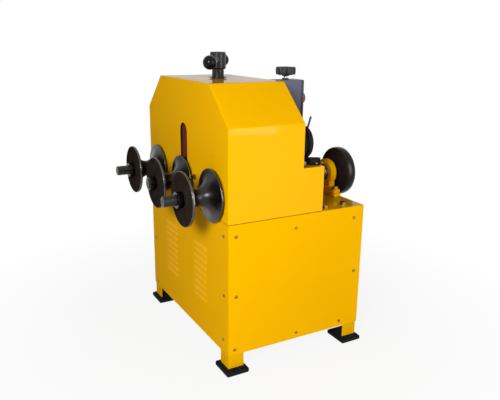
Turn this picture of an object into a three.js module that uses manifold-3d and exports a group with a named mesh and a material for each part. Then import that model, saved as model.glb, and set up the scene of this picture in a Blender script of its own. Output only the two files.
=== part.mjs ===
// Electric pipe bender with three grooved rollers on a sheet metal cabinet.
// Millimetres, X to the right, Y from the front face to the back, Z up from the floor.
import * as THREE from 'three';
import { mergeVertices } from 'three/addons/utils/BufferGeometryUtils.js';
import Module from 'manifold-3d';

const wasm = await Module();
wasm.setup();

// Clearances and shared stock
const gap = 0.3;
const cutOverrun = 5;
const sheet = 2;
const shaftDiameter = 30;

// Cabinet
const cabinetWidth = 600;
const cabinetDepth = 466;
const padHeight = 12;
const padWidth = 84;
const padDepth = 72;
const legHeight = 440;
const legWidth = 50;
const legWall = 5;
const panelClearance = 47;
const topRailHeight = 40;
const lowerRailHeight = 40;
const lowerRailLift = 5;
const shelfThickness = 8;
const shelfFront = 70;
const shelfBack = 330;
const bedThickness = 12;
const anchorHoleLength = 20;
const anchorHoleWidth = 12;
const anchorHoleHeight = 39;

// Louvres of the front panel and slots of the rear panel
const louvreLength = 94;
const louvrePitch = 21;
const louvreHeight = 9;
const louvreProud = 5;
const louvreRows = 9;
const louvreColumnPlace = 114;
const louvreTopDrop = 113;
const rearSlotLength = 120;
const rearSlotWidth = 6;
const rearSlotPitch = 18;
const rearSlotRows = 8;
const rearSlotDrop = 110;

// Hood with its step
const hoodDepth = 240;
const hoodShoulder = 262;
const hoodHeight = 369;
const hoodTopWidth = 366;
const stepDepth = 71;
const stepHeight = 136;
const slotWidth = 55;
const slotTop = 241;
const screwHoleClearance = 2;
const collarHoleClearance = 3;

// Roller axes and spindles
const axisHeight = 64;
const rollerSpacing = 208;
const sideStubEnd = 150;
const middleStubEnd = 119;
const rollerFaceClearance = 4;
const rollerLength = 91;
const rollerDiameter = 154;
const throatDiameter = 50;
const rollerRim = 7;
const shoulderDiameter = 38;
const endChamfer = 2;
const sideNutDiameter = 46;
const sideNutLength = 17;
const middleNutDiameter = 40;
const middleNutLength = 21;

// Bending head
const headFront = 12;
const plateThickness = 20;
const plateSpacing = 118;
const plateHeight = 300;
const plateShoulderHeight = 128;
const plateBaseWidth = 540;
const plateTopWidth = 380;
const bridgeThickness = 35;
const cartridgeDiameter = 74;
const carriageWidth = 90;
const carriageBelow = 40;
const carriageAbove = 68;
const carriageEndPlay = 2;
const guideWidth = 20;
const pressTravel = 150;

// Press screw
const screwPlace = 117;
const screwDiameter = 36;
const screwFootDiameter = 46;
const screwFootHeight = 11;
const screwFootDrop = 25;
const nutFlangeDiameter = 84;
const nutFlangeHeight = 9;
const nutBodyDiameter = 58;
const headDiameter = 48;
const headHeight = 51;
const headLift = 27;
const headSocketDepth = 13;
const tommyDiameter = 14;
const tommyBallSpacing = 220;
const tommyOffset = 24;
const tommyHeadHeightShare = 0.48;
const tommyAngle = -35.6;
const ballDiameter = 40;
const ballSocketDepth = 14;

// Gear train, one module for all wheels
const gearModule = 4;
const gearTeeth = 26;
const gearWidth = 24;
const gearPlaneClearance = 8;
const gearAddendumShare = 0.9;
const gearDedendumShare = 1.15;
const gearRootShare = 0.29;
const gearTipShare = 0.12;
const halfToothShare = 0.5;
const journalDiameter = 24;
const shaftTail = 5;

// Chain drive
const chainPitch = 19.05;
const sprocketTeeth = 16;
const sprocketAddendumShare = 0.2;
const sprocketDedendumShare = 0.33;
const sprocketRootShare = 0.36;
const sprocketTipShare = 0.1;
const sprocketWidth = 11;
const sprocketInset = 26;
const chainWidth = 20;
const chainThickness = 10;
const chainSlotClearance = 6;

// Motor with worm gearbox
const motorAxisHeight = 78;
const motorDiameter = 136;
const motorLength = 210;
const motorNeckDiameter = 90;
const motorNeckLength = 14;
const wormCentreDistance = 75;
const gearboxWidth = 120;
const gearboxClearance = 20;
const gearboxDepth = 120;
const wheelHouseDiameter = 130;
const outputShaftDiameter = 28;
const outputSocketDepth = 25;

// Drive shaft behind the head, pillow block and rear wheel
const pillowInset = 20;
const pillowWidth = 29;
const pillowDiameter = 88;
const pillowFootLength = 164;
const pillowFootHeight = 12;
const pillowWebWidth = 66;
const spacerLength = 168;
const spacerInset = 29;
const spacerWidth = 26;
const spacerHeight = 10;
const wheelOverhang = 30;
const wheelWidth = 30;
const wheelDiameter = 160;
const wheelEdge = 4;
const wheelHubDiameter = 60;
const wheelRimInnerDiameter = 130;
const wheelRecess = 3;
const rearNutDiameter = 50;
const rearNutLength = 16;
const shaftEndProud = 5;

// Control box behind the hood
const boxLeft = 0;
const boxRight = 60;
const boxDepth = 145;
const boxBottom = 160;
const boxTop = 362;
const coverThickness = 3;
const coverEdge = 6;
const knobPlaceX = 20;
const knobInset = 106.7;
const knobLift = 14;
const knobDiameter = 66;
const knobHeight = 25;
const knobLobes = 5;
const knobLobeDepth = 8;
const knobStemDiameter = 12;
const knobStemDepth = 10;
const knobSocketDepth = 12;
const stopButtonDiameter = 40;
const stopButtonHeight = 18;
const stopNeckDiameter = 22;
const stopTravel = 5;
const stopPlaceX = 30;
const stopDrop = 60;

// Power cable, its gland, hook and plug
const cableDiameter = 8;
const cableSides = 8;
const glandDiameter = 24;
const glandLength = 10;
const glandReliefLength = 24;
const glandInset = 35.7;
const glandHeight = 175;
const coilPlaceX = 231;
const coilTurns = 6;
const coilLayers = 4;
const coilReversal = 0.5;
const coilStepsPerTurn = 24;
const coilSides = 6;
const coilPitch = 8.8;
const coilOuterRadius = 50;
const coilLayerPitch = 8.8;
const coilLeadIn = 12;
const coilLeadOut = 12;
const plugThickness = 20;
const plugWidth = 32;
const plugBodyLength = 26;
const plugReliefLength = 12;
const plugReliefDiameter = 12;
const plugReliefWall = 0.8;
const plugPinLength = 19;
const plugPinDiameter = 4.8;
const plugPinSpacing = 19;
const plugPinRoot = 4;
const hookRodDiameter = 6;
const hookReach = 54;
const hookRise = 14;
const hookBend = 10;
const hookPlateWidth = 30;
const hookPlateHeight = 36;
const hookPlateThickness = 3;
const coilStandOff = 8;

// Levels and places that follow from the sizes above
const legBottom = padHeight + gap;
const bedTop = legBottom + legHeight;
const panelBottom = legBottom + panelClearance;
const frameTop = bedTop - bedThickness - gap;
const frameHalf = cabinetWidth / 2 - sheet - gap;
const frameFront = sheet + gap;
const frameBack = cabinetDepth - sheet - gap;
const lowerRailBottom = panelBottom + lowerRailLift;
const lowerRailTop = lowerRailBottom + lowerRailHeight;
const shelfTop = lowerRailTop + gap + shelfThickness;
const onBed = bedTop + gap;
const axisZ = bedTop + axisHeight;
const plateRear = headFront + plateThickness + plateSpacing;
const headBack = plateRear + plateThickness;
const gearPitchRadius = gearModule * gearTeeth / 2;
const gearFront = headBack + gearPlaneClearance;
const gearBack = gearFront + gearWidth;
const driveX = gearPitchRadius * 2;
const rollerBack = -rollerFaceClearance;
const rollerFront = rollerBack - rollerLength;
const carriageFront = headFront + plateThickness + carriageEndPlay;
const carriageBack = plateRear - carriageEndPlay;
const carriageTop = axisZ + carriageAbove;
const bridgeBottom = bedTop + plateHeight + gap;
const bridgeTop = bridgeBottom + bridgeThickness;
const hoodTop = bedTop + hoodHeight;
const stepTop = bedTop + stepHeight;
const headBottom = hoodTop + headLift;
const tommyZ = headBottom + headHeight * tommyHeadHeightShare;
const motorZ = shelfTop + gap + motorAxisHeight;
const outputZ = motorZ + wormCentreDistance;
const sprocketPlace = hoodDepth + sprocketInset;
const gearboxBack = sprocketPlace - gearboxClearance;
const gearboxFront = gearboxBack - gearboxDepth;
const pillowPlace = cabinetDepth - pillowInset;
const spacerPlace = cabinetDepth - spacerInset;
const wheelPlace = cabinetDepth + wheelOverhang;
const driveShaftEnd = wheelPlace + wheelWidth + gap + rearNutLength + shaftEndProud;
const boxFront = hoodDepth + gap;
const boxBack = boxFront + boxDepth;
const knobPlaceY = boxFront + knobInset;
const glandPlaceY = boxFront + glandInset;
const coverBack = boxBack + gap + coverThickness;
const depthMiddle = (driveShaftEnd - sideStubEnd) / 2;

// Colours as the eye sees them, with roughness and metalness
const yellowPaint = { color: 0xffb900, roughness: 0.32, metalness: 0 };
const frameSteel = { color: 0x4a2a1e, roughness: 0.6, metalness: 0.3 };
const brightSteel = { color: 0xb8bbbe, roughness: 0.3, metalness: 1 };
const blackSteel = { color: 0x2b2624, roughness: 0.4, metalness: 0.7 };
const blackPlastic = { color: 0x15151a, roughness: 0.35, metalness: 0 };
const blackRubber = { color: 0x1b1b1b, roughness: 0.8, metalness: 0 };
const greyPaint = { color: 0x5d5e6c, roughness: 0.5, metalness: 0.1 };
const castGrey = { color: 0x6c7177, roughness: 0.6, metalness: 0.3 };
const motorBlue = { color: 0x2f4a63, roughness: 0.5, metalness: 0.2 };
const bronze = { color: 0xa9773a, roughness: 0.4, metalness: 0.9 };
const redPlastic = { color: 0xb3151b, roughness: 0.4, metalness: 0 };

const machine = new THREE.Group();
machine.position.y = -depthMiddle;

function add(name, geometry, look) {
  const mesh = new THREE.Mesh(geometry, new THREE.MeshStandardMaterial(look));
  mesh.name = name;
  machine.add(mesh);
  return mesh;
}

// A closed geometry with shared vertices and its faces pointing out
function closed(geometry) {
  geometry.deleteAttribute('normal');
  geometry.deleteAttribute('uv');
  const merged = mergeVertices(geometry);
  const place = merged.getAttribute('position');
  const order = merged.index.array;
  const corners = [new THREE.Vector3(), new THREE.Vector3(), new THREE.Vector3()];
  const kept = [];
  let volume = 0;
  for (let i = 0; i < order.length; i += 3) {
    const [a, b, c] = [order[i], order[i + 1], order[i + 2]];
    if (a === b || b === c || c === a) continue;
    corners[0].fromBufferAttribute(place, a);
    corners[1].fromBufferAttribute(place, b);
    corners[2].fromBufferAttribute(place, c);
    volume += corners[0].dot(corners[1].cross(corners[2]));
    kept.push(a, b, c);
  }
  if (volume < 0) {
    for (let i = 0; i < kept.length; i += 3) {
      [kept[i], kept[i + 1]] = [kept[i + 1], kept[i]];
    }
  }
  merged.setIndex(kept);
  merged.computeVertexNormals();
  return merged;
}

function toSolid(geometry) {
  const merged = closed(geometry.clone());
  const vertProperties = new Float32Array(merged.getAttribute('position').array);
  const triVerts = new Uint32Array(merged.index.array);
  return new wasm.Manifold(new wasm.Mesh({ numProp: 3, vertProperties, triVerts }));
}

function toGeometry(solid) {
  const mesh = solid.getMesh();
  const geometry = new THREE.BufferGeometry();
  geometry.setAttribute('position', new THREE.BufferAttribute(new Float32Array(mesh.vertProperties), 3));
  geometry.setIndex(Array.from(mesh.triVerts));
  geometry.computeVertexNormals();
  return geometry;
}

function joined(pieces) {
  return toGeometry(pieces.map(toSolid).reduce((all, piece) => all.add(piece)));
}

function cut(body, tools) {
  return toGeometry(tools.map(toSolid).reduce((rest, tool) => rest.subtract(tool), toSolid(body)));
}

// Boxes between two limits on each axis
function block([x0, x1], [y0, y1], [z0, z1]) {
  const box = new THREE.BoxGeometry(x1 - x0, y1 - y0, z1 - z0);
  return box.translate((x0 + x1) / 2, (y0 + y1) / 2, (z0 + z1) / 2);
}

// Round bodies along one axis, between two limits
function rod(axis, diameter, [from, to], [a, b], sides = 24) {
  const body = new THREE.CylinderGeometry(diameter / 2, diameter / 2, to - from, sides);
  const middle = (from + to) / 2;
  if (axis === 'x') return body.rotateZ(Math.PI / 2).translate(middle, a, b);
  if (axis === 'y') return body.translate(a, middle, b);
  return body.rotateX(Math.PI / 2).translate(a, b, middle);
}

// A profile of [radius, place] pairs turned about an axis along Y or Z
function turned(axis, profile, [a, b], sides = 32) {
  const points = profile.map(([radius, place]) => new THREE.Vector2(radius, place));
  const body = closed(new THREE.LatheGeometry(points, sides));
  if (axis === 'y') return body.translate(a, 0, b);
  return body.rotateX(Math.PI / 2).translate(a, b, 0);
}

// An outline in X and Z with straight sides, given a thickness along Y
function upright(outline, [front, back], holes = []) {
  const shape = new THREE.Shape(outline.map(([x, z]) => new THREE.Vector2(x, z)));
  holes.forEach((hole) => shape.holes.push(hole));
  const form = { depth: back - front, bevelEnabled: false, curveSegments: 12 };
  const plate = new THREE.ExtrudeGeometry(shape, form);
  return closed(plate.rotateX(Math.PI / 2).translate(0, back, 0));
}

function rectangle([x0, x1], [z0, z1]) {
  return [[x0, z0], [x1, z0], [x1, z1], [x0, z1]];
}

// Holes have their flats, not their corners, at the stated size, so that a round piece clears them
const holeSides = 24;
const outset = 1 / Math.cos(Math.PI / holeSides);
function roundHole(x, z, diameter) {
  const points = [];
  for (let i = 0; i < holeSides; i += 1) {
    const angle = -Math.PI * 2 * i / holeSides;
    points.push(new THREE.Vector2(
      x + Math.cos(angle) * diameter / 2 * outset,
      z + Math.sin(angle) * diameter / 2 * outset,
    ));
  }
  return new THREE.Path(points);
}

function drill(axis, diameter, span, place) {
  return rod(axis, diameter * outset, span, place, holeSides);
}

function slotHole(x, width, bottom, top) {
  const half = width / 2;
  const path = new THREE.Path();
  path.moveTo(x - half, bottom + half);
  path.lineTo(x - half, top - half);
  path.absarc(x, top - half, half, Math.PI, 0, true);
  path.lineTo(x + half, bottom + half);
  path.absarc(x, bottom + half, half, 0, -Math.PI, true);
  return path;
}

// Frame: four angle legs with rails round the top and above the feet
function legCorner(sideX, sideY) {
  const outerX = sideX * frameHalf;
  const outerY = sideY < 0 ? frameFront : frameBack;
  const x = [outerX, outerX - sideX * legWidth].sort((p, q) => p - q);
  const xWall = [outerX, outerX - sideX * legWall].sort((p, q) => p - q);
  const y = [outerY, outerY - sideY * legWidth].sort((p, q) => p - q);
  const yWall = [outerY, outerY - sideY * legWall].sort((p, q) => p - q);
  return [block(x, yWall, [legBottom, frameTop]), block(xWall, y, [legBottom, frameTop])];
}

function railRing(bottom, top) {
  const innerX = frameHalf - legWall;
  return [
    block([-frameHalf, frameHalf], [frameFront, frameFront + legWall], [bottom, top]),
    block([-frameHalf, frameHalf], [frameBack - legWall, frameBack], [bottom, top]),
    block([-frameHalf, -innerX], [frameFront, frameBack], [bottom, top]),
    block([innerX, frameHalf], [frameFront, frameBack], [bottom, top]),
  ];
}

const corners = [[-1, -1], [1, -1], [-1, 1], [1, 1]];
const anchorHoles = [-1, 1].map((side) => {
  const x = side * (frameHalf - legWidth / 2);
  const half = anchorHoleLength / 2;
  const z = legBottom + anchorHoleHeight;
  return block(
    [x - anchorHoleWidth / 2, x + anchorHoleWidth / 2],
    [-cutOverrun, frameFront + legWall + cutOverrun],
    [z - half, z + half],
  );
});
const shelfRails = [shelfFront, shelfBack - legWall].map((place) => (
  block([-frameHalf, frameHalf], [place, place + legWall], [lowerRailBottom, lowerRailTop])
));
const frameSteelwork = joined([
  ...corners.flatMap(([sideX, sideY]) => legCorner(sideX, sideY)),
  ...railRing(frameTop - topRailHeight, frameTop),
  ...railRing(lowerRailBottom, lowerRailTop),
  ...shelfRails,
]);
add('base_frame', cut(frameSteelwork, anchorHoles), yellowPaint);

const padNames = ['foot_front_left', 'foot_front_right', 'foot_rear_left', 'foot_rear_right'];
corners.forEach(([sideX, sideY], i) => {
  const middleX = sideX * (frameHalf - legWidth / 2);
  const middleY = sideY < 0 ? frameFront + legWidth / 2 : frameBack - legWidth / 2;
  const x = [middleX - padWidth / 2, middleX + padWidth / 2];
  const y = [middleY - padDepth / 2, middleY + padDepth / 2];
  add(padNames[i], block(x, y, [0, padHeight]), blackRubber);
});

// Panels: the front one has louvres pressed out over its slits
function louvre(x, z) {
  const half = louvreLength / 2;
  const wedge = (proud, drop) => {
    const shape = new THREE.Shape([
      new THREE.Vector2(sheet / 2, louvreHeight / 2),
      new THREE.Vector2(-proud, -louvreHeight / 2 - drop),
      new THREE.Vector2(sheet / 2, -louvreHeight / 2 - drop),
    ]);
    return shape;
  };
  const extrude = (shape, length) => {
    const body = new THREE.ExtrudeGeometry(shape, { depth: length, bevelEnabled: false });
    body.rotateX(Math.PI / 2).rotateZ(Math.PI / 2);
    return closed(body);
  };
  const outer = extrude(wedge(louvreProud, 0), louvreLength).translate(x - half, 0, z);
  const innerLength = louvreLength - sheet;
  const inner = extrude(wedge(louvreProud - sheet / 2, sheet / 2), innerLength);
  inner.translate(x - innerLength / 2, sheet / 2, z - sheet / 2);
  return { outer, inner };
}

const louvres = [];
for (const column of [-louvreColumnPlace, louvreColumnPlace]) {
  for (let row = 0; row < louvreRows; row += 1) {
    louvres.push(louvre(column, bedTop - louvreTopDrop - row * louvrePitch));
  }
}
const frontSheet = block([-cabinetWidth / 2, cabinetWidth / 2], [0, sheet], [panelBottom, bedTop]);
const slits = louvres.map(({ inner }) => inner);
const hooded = joined([frontSheet, ...louvres.map(({ outer }) => outer)]);
add('front_panel', cut(hooded, slits), yellowPaint);

const sideY = [frameFront, frameBack];
const sideZ = [panelBottom, bedTop];
add('left_panel', block([-cabinetWidth / 2, -cabinetWidth / 2 + sheet], sideY, sideZ), yellowPaint);
add('right_panel', block([cabinetWidth / 2 - sheet, cabinetWidth / 2], sideY, sideZ), yellowPaint);

const rearSlots = [];
for (let row = 0; row < rearSlotRows; row += 1) {
  const z = bedTop - rearSlotDrop - row * rearSlotPitch;
  const across = [-rearSlotLength / 2, rearSlotLength / 2];
  const hole = rectangle(across, [z - rearSlotWidth / 2, z + rearSlotWidth / 2]);
  rearSlots.push(new THREE.Path(hole.map(([x, height]) => new THREE.Vector2(x, height))));
}
const rearOutline = rectangle([-cabinetWidth / 2, cabinetWidth / 2], [panelBottom, bedTop]);
add('rear_panel', upright(rearOutline, [cabinetDepth - sheet, cabinetDepth], rearSlots), yellowPaint);

// Toothed wheels turn about Y: four points to a tooth, from its root round its tip
function toothed(
  teeth, pitchRadius, addendum, dedendum, rootShare, tipShare, turn, bore, [front, back], x, z,
) {
  const outline = [];
  const step = Math.PI * 2 / teeth;
  for (let i = 0; i < teeth; i += 1) {
    const middle = (i + turn) * step;
    const corner = (radius, share) => {
      const angle = middle + share * step;
      outline.push([radius * Math.cos(angle), radius * Math.sin(angle)]);
    };
    corner(pitchRadius - dedendum, -rootShare);
    corner(pitchRadius + addendum, -tipShare);
    corner(pitchRadius + addendum, tipShare);
    corner(pitchRadius - dedendum, rootShare);
  }
  const holes = bore > 0 ? [roundHole(0, 0, bore)] : [];
  return upright(outline, [front, back], holes).translate(x, 0, z);
}

// Sprockets and the chain loop between them
const sprocketRadius = chainPitch / 2 / Math.sin(Math.PI / sprocketTeeth);
const sprocketAddendum = chainPitch * sprocketAddendumShare;
const sprocketDedendum = chainPitch * sprocketDedendumShare;
const sprocketTipRadius = sprocketRadius + sprocketAddendum;
const chainInner = sprocketTipRadius + gap;
const chainOuter = chainInner + chainThickness;
const sprocketY = [sprocketPlace - sprocketWidth / 2, sprocketPlace + sprocketWidth / 2];
const sprocketBore = shaftDiameter + gap * 2;
const sprocket = (bore, z) => toothed(
  sprocketTeeth, sprocketRadius, sprocketAddendum, sprocketDedendum,
  sprocketRootShare, sprocketTipShare, 0, bore, sprocketY, driveX, z,
);

// Bed plate with the slot that the chain runs down through
const bedHalf = frameHalf;
const chainSlotHalf = chainOuter + chainSlotClearance;
const chainSlotY = [
  sprocketPlace - chainWidth / 2 - chainSlotClearance,
  sprocketPlace + chainWidth / 2 + chainSlotClearance,
];
const bed = block([-bedHalf, bedHalf], [frameFront, frameBack], [bedTop - bedThickness, bedTop]);
const chainSlot = block(
  [driveX - chainSlotHalf, driveX + chainSlotHalf],
  chainSlotY,
  [bedTop - bedThickness - cutOverrun, bedTop + cutOverrun],
);
add('bed_plate', cut(bed, [chainSlot]), yellowPaint);

// Hood: one folded and welded shell, tall over the head and low over the chain
function hoodOutline(inset, bottom) {
  const half = cabinetWidth / 2;
  const topHalf = hoodTopWidth / 2;
  const lean = Math.atan2(half - topHalf, hoodHeight - hoodShoulder);
  const shoulderDrop = inset * Math.tan(lean / 2);
  const topShift = inset * Math.tan((Math.PI / 2 - lean) / 2);
  const right = [
    [half - inset, bottom],
    [half - inset, bedTop + hoodShoulder - shoulderDrop],
    [topHalf - topShift, hoodTop - inset],
  ];
  const left = right.map(([x, z]) => [-x, z]).reverse();
  return [...right, ...left];
}

const hoodBack = hoodDepth + stepDepth;
const half = cabinetWidth / 2;
const hoodOuter = [
  upright(hoodOutline(0, onBed), [0, hoodDepth]),
  block([-half, half], [hoodDepth - sheet, hoodBack], [onBed, stepTop]),
];
const hoodInner = [
  upright(hoodOutline(sheet, bedTop - cutOverrun), [sheet, hoodDepth - sheet]),
  block(
    [sheet - half, half - sheet],
    [hoodDepth - sheet - cutOverrun, hoodBack - sheet],
    [bedTop - cutOverrun, stepTop - sheet],
  ),
];
const slotBottom = axisZ - slotWidth / 2;
const throughFront = [-cutOverrun, sheet + cutOverrun];
const slotCut = upright(
  rectangle([-slotWidth / 2, slotWidth / 2], [slotBottom, bedTop + slotTop - slotWidth / 2]),
  throughFront,
);
const slotRound = rod('y', slotWidth, throughFront, [0, bedTop + slotTop - slotWidth / 2]);
const collarHole = shoulderDiameter + collarHoleClearance * 2;
const hoodHoles = [
  slotCut,
  slotRound,
  ...[-rollerSpacing, rollerSpacing].map((x) => drill('y', collarHole, throughFront, [x, axisZ])),
  drill('y', collarHole, [hoodBack - sheet - cutOverrun, hoodBack + cutOverrun], [driveX, axisZ]),
  drill('z', screwDiameter + screwHoleClearance * 2, [bridgeTop, hoodTop + cutOverrun], [0, screwPlace]),
];
add('hood', cut(joined(hoodOuter), [...hoodInner, ...hoodHoles]), yellowPaint);

// Head plates stand on the bed and carry everything that turns
function plateOutline() {
  const base = plateBaseWidth / 2;
  const top = plateTopWidth / 2;
  const shoulder = bedTop + plateShoulderHeight;
  return [
    [-base, onBed], [base, onBed], [base, shoulder],
    [top, bedTop + plateHeight], [-top, bedTop + plateHeight], [-base, shoulder],
  ];
}

const cartridgeBore = cartridgeDiameter + gap * 2;
const cartridgeHoles = () => [-rollerSpacing, rollerSpacing].map((x) => roundHole(x, axisZ, cartridgeBore));
const journalBore = journalDiameter + gap * 2;
const driveBore = shaftDiameter + gap * 2;
const plateSlotTop = axisZ + pressTravel + slotWidth / 2;
const frontHoles = [...cartridgeHoles(), slotHole(0, slotWidth, slotBottom, plateSlotTop)];
const frontPlateY = [headFront, headFront + plateThickness];
add('head_front_plate', upright(plateOutline(), frontPlateY, frontHoles), frameSteel);
const rearHoles = [
  ...cartridgeHoles(),
  roundHole(0, axisZ, journalBore),
  roundHole(-driveX, axisZ, journalBore),
  roundHole(driveX, axisZ, driveBore),
];
add('head_rear_plate', upright(plateOutline(), [plateRear, headBack], rearHoles), frameSteel);

const bridge = block(
  [-plateTopWidth / 2, plateTopWidth / 2], [headFront, headBack], [bridgeBottom, bridgeTop],
);
const nutHole = drill(
  'z', nutBodyDiameter + gap * 2, [bridgeBottom - cutOverrun, bridgeTop + cutOverrun], [0, screwPlace],
);
add('top_bridge', cut(bridge, [nutHole]), frameSteel);

// Nut of the press screw, let into the bridge from above
const screwBore = (screwDiameter / 2 + gap) * outset;
const nutSeat = bridgeTop + gap;
add('screw_nut', turned('z', [
  [screwBore, bridgeBottom], [nutBodyDiameter / 2, bridgeBottom], [nutBodyDiameter / 2, nutSeat],
  [nutFlangeDiameter / 2, nutSeat], [nutFlangeDiameter / 2, nutSeat + nutFlangeHeight],
  [screwBore, nutSeat + nutFlangeHeight], [screwBore, bridgeBottom],
], [0, screwPlace], 20), bronze);

// Spindles: stub, roller seat, shoulder and journal in one turned shaft
function spindle(stubEnd, shoulderBack, tail, x) {
  const seat = shaftDiameter / 2;
  const shoulder = shoulderDiameter / 2;
  return turned('y', [
    [0, -stubEnd], [seat - endChamfer, -stubEnd], [seat, -stubEnd + endChamfer],
    [seat, rollerBack + gap], [shoulder, rollerBack + gap], [shoulder, shoulderBack],
    [seat, shoulderBack], [seat, tail], [0, tail],
  ], [x, axisZ], 20);
}

// Grooved wheel: two flanges with an elliptic groove between them
const grooveSteps = 10;
function grooved(outerDiameter, throat, rim, bore, [front, back], [x, z]) {
  const outer = outerDiameter / 2;
  const depth = outer - throat / 2;
  const halfGroove = (back - front) / 2 - rim;
  const middle = (front + back) / 2;
  const profile = [[bore / 2, front], [outer - endChamfer, front], [outer, front + endChamfer]];
  for (let i = 0; i <= grooveSteps; i += 1) {
    const angle = Math.PI * i / grooveSteps;
    profile.push([outer - depth * Math.sin(angle), middle - halfGroove * Math.cos(angle)]);
  }
  profile.push([outer, back - endChamfer], [outer - endChamfer, back], [bore / 2, back], [bore / 2, front]);
  return turned('y', profile, [x, z], 32);
}

// Gears: one module and one tooth count, neighbours half a tooth apart
const gearAddendum = gearModule * gearAddendumShare;
const gearDedendum = gearModule * gearDedendumShare;
const gear = (x, turn, bore) => toothed(
  gearTeeth, gearPitchRadius, gearAddendum, gearDedendum,
  gearRootShare, gearTipShare, turn, bore, [gearFront, gearBack], x, axisZ,
);
const boreFor = (diameter) => diameter + gap * 2;

const sideShoulderBack = headFront - gap;
const sideTail = gearBack + shaftTail;
const sides = [['left', -1], ['right', 1]];
for (const [name, side] of sides) {
  const x = side * rollerSpacing;
  const sleeveBore = (shaftDiameter / 2 + gap) * outset;
  const sleeve = cartridgeDiameter / 2;
  add(`bearing_cartridge_${name}`, turned('y', [
    [sleeveBore, headFront], [sleeve, headFront], [sleeve, headBack], [sleeveBore, headBack],
    [sleeveBore, headFront],
  ], [x, axisZ], 20), castGrey);
  add(`${name}_shaft`, spindle(sideStubEnd, sideShoulderBack, sideTail, x), brightSteel);
  add(`${name}_roller`, grooved(
    rollerDiameter, throatDiameter, rollerRim, boreFor(shaftDiameter),
    [rollerFront, rollerBack], [x, axisZ],
  ), blackSteel);
  const nutBack = rollerFront - gap;
  add(`${name}_roller_nut`, turned('y', [
    [sleeveBore, nutBack - sideNutLength],
    [sideNutDiameter / 2 - endChamfer, nutBack - sideNutLength],
    [sideNutDiameter / 2, nutBack - sideNutLength + endChamfer],
    [sideNutDiameter / 2, nutBack],
    [sleeveBore, nutBack],
    [sleeveBore, nutBack - sideNutLength],
  ], [x, axisZ], 24), blackSteel);
  add(`${name}_gear`, gear(x, 0, boreFor(shaftDiameter)), castGrey);
}

// Idler gears in one piece with the journal that runs in the rear plate
for (const [name, x, turn] of [['centre', 0, 0], ['left', -driveX, halfToothShare]]) {
  const journal = rod('y', journalDiameter, [plateRear, gearFront + gearWidth / 2], [x, axisZ]);
  add(`idler_gear_${name}`, joined([gear(x, turn, 0), journal]), castGrey);
}

// Middle spindle in the carriage
add('middle_shaft', spindle(middleStubEnd, carriageFront - gap, carriageBack - endChamfer, 0), brightSteel);
add('middle_roller', grooved(
  rollerDiameter, throatDiameter, rollerRim, boreFor(shaftDiameter), [rollerFront, rollerBack], [0, axisZ],
), blackSteel);
const middleNutBack = rollerFront - gap;
const middleNutFront = middleNutBack - middleNutLength;
add('middle_roller_nut', turned('y', [
  [shaftDiameter / 2 + gap, middleNutFront],
  [middleNutDiameter / 2 - endChamfer, middleNutFront],
  [middleNutDiameter / 2, middleNutFront + endChamfer],
  [middleNutDiameter / 2, middleNutBack],
  [shaftDiameter / 2 + gap, middleNutBack],
  [shaftDiameter / 2 + gap, middleNutFront],
], [0, axisZ], 24), blackSteel);

// Carriage with a slot for the screw's foot, open to the back
const footTop = carriageTop - screwFootDrop + screwFootHeight;
const footBottom = carriageTop - screwFootDrop;
const carriageBody = block(
  [-carriageWidth / 2, carriageWidth / 2], [carriageFront, carriageBack],
  [axisZ - carriageBelow, carriageTop],
);
const neckSlotHalf = screwDiameter / 2 + gap;
const footSlotHalf = screwFootDiameter / 2 + gap;
const carriageCuts = [
  drill('y', boreFor(shaftDiameter), [carriageFront - cutOverrun, carriageBack + cutOverrun], [0, axisZ]),
  block(
    [-neckSlotHalf, neckSlotHalf], [screwPlace - neckSlotHalf, carriageBack + cutOverrun],
    [footBottom, carriageTop + cutOverrun],
  ),
  block(
    [-footSlotHalf, footSlotHalf], [screwPlace - footSlotHalf, carriageBack + cutOverrun],
    [footBottom - gap, footTop + gap],
  ),
];
add('press_carriage', cut(carriageBody, carriageCuts), frameSteel);

for (const [name, side] of sides) {
  const inner = side * (carriageWidth / 2 + gap);
  const outer = inner + side * guideWidth;
  add(`guide_${name}`, block(
    [Math.min(inner, outer), Math.max(inner, outer)],
    [headFront + plateThickness + gap, plateRear - gap],
    [onBed, bridgeBottom - gap],
  ), brightSteel);
}

// Press screw with its hooked foot, head, sliding bar and ball knobs
const screwTop = headBottom + headSocketDepth;
add('press_screw', turned('z', [
  [0, footBottom], [screwFootDiameter / 2, footBottom], [screwFootDiameter / 2, footTop],
  [screwDiameter / 2, footTop], [screwDiameter / 2, screwTop], [0, screwTop],
], [0, screwPlace], 24), brightSteel);

const tommyTurn = THREE.MathUtils.degToRad(tommyAngle);
const tommyAlong = new THREE.Vector2(Math.cos(tommyTurn), Math.sin(tommyTurn));
function alongTommy(geometry, distance) {
  geometry.rotateZ(tommyTurn);
  return geometry.translate(tommyAlong.x * distance, screwPlace + tommyAlong.y * distance, tommyZ);
}
const headBody = turned('z', [
  [0, headBottom], [headDiameter / 2 - endChamfer, headBottom], [headDiameter / 2, headBottom + endChamfer],
  [headDiameter / 2, headBottom + headHeight - endChamfer],
  [headDiameter / 2 - endChamfer, headBottom + headHeight], [0, headBottom + headHeight],
], [0, screwPlace], 32);
const headSocket = drill(
  'z', screwDiameter + gap * 2, [headBottom - cutOverrun, screwTop + gap], [0, screwPlace],
);
const crossHole = alongTommy(drill(
  'x', tommyDiameter + gap * 2, [-headDiameter / 2 - cutOverrun, headDiameter / 2 + cutOverrun], [0, 0],
), 0);
add('screw_head', cut(headBody, [headSocket, crossHole]), blackSteel);

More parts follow.
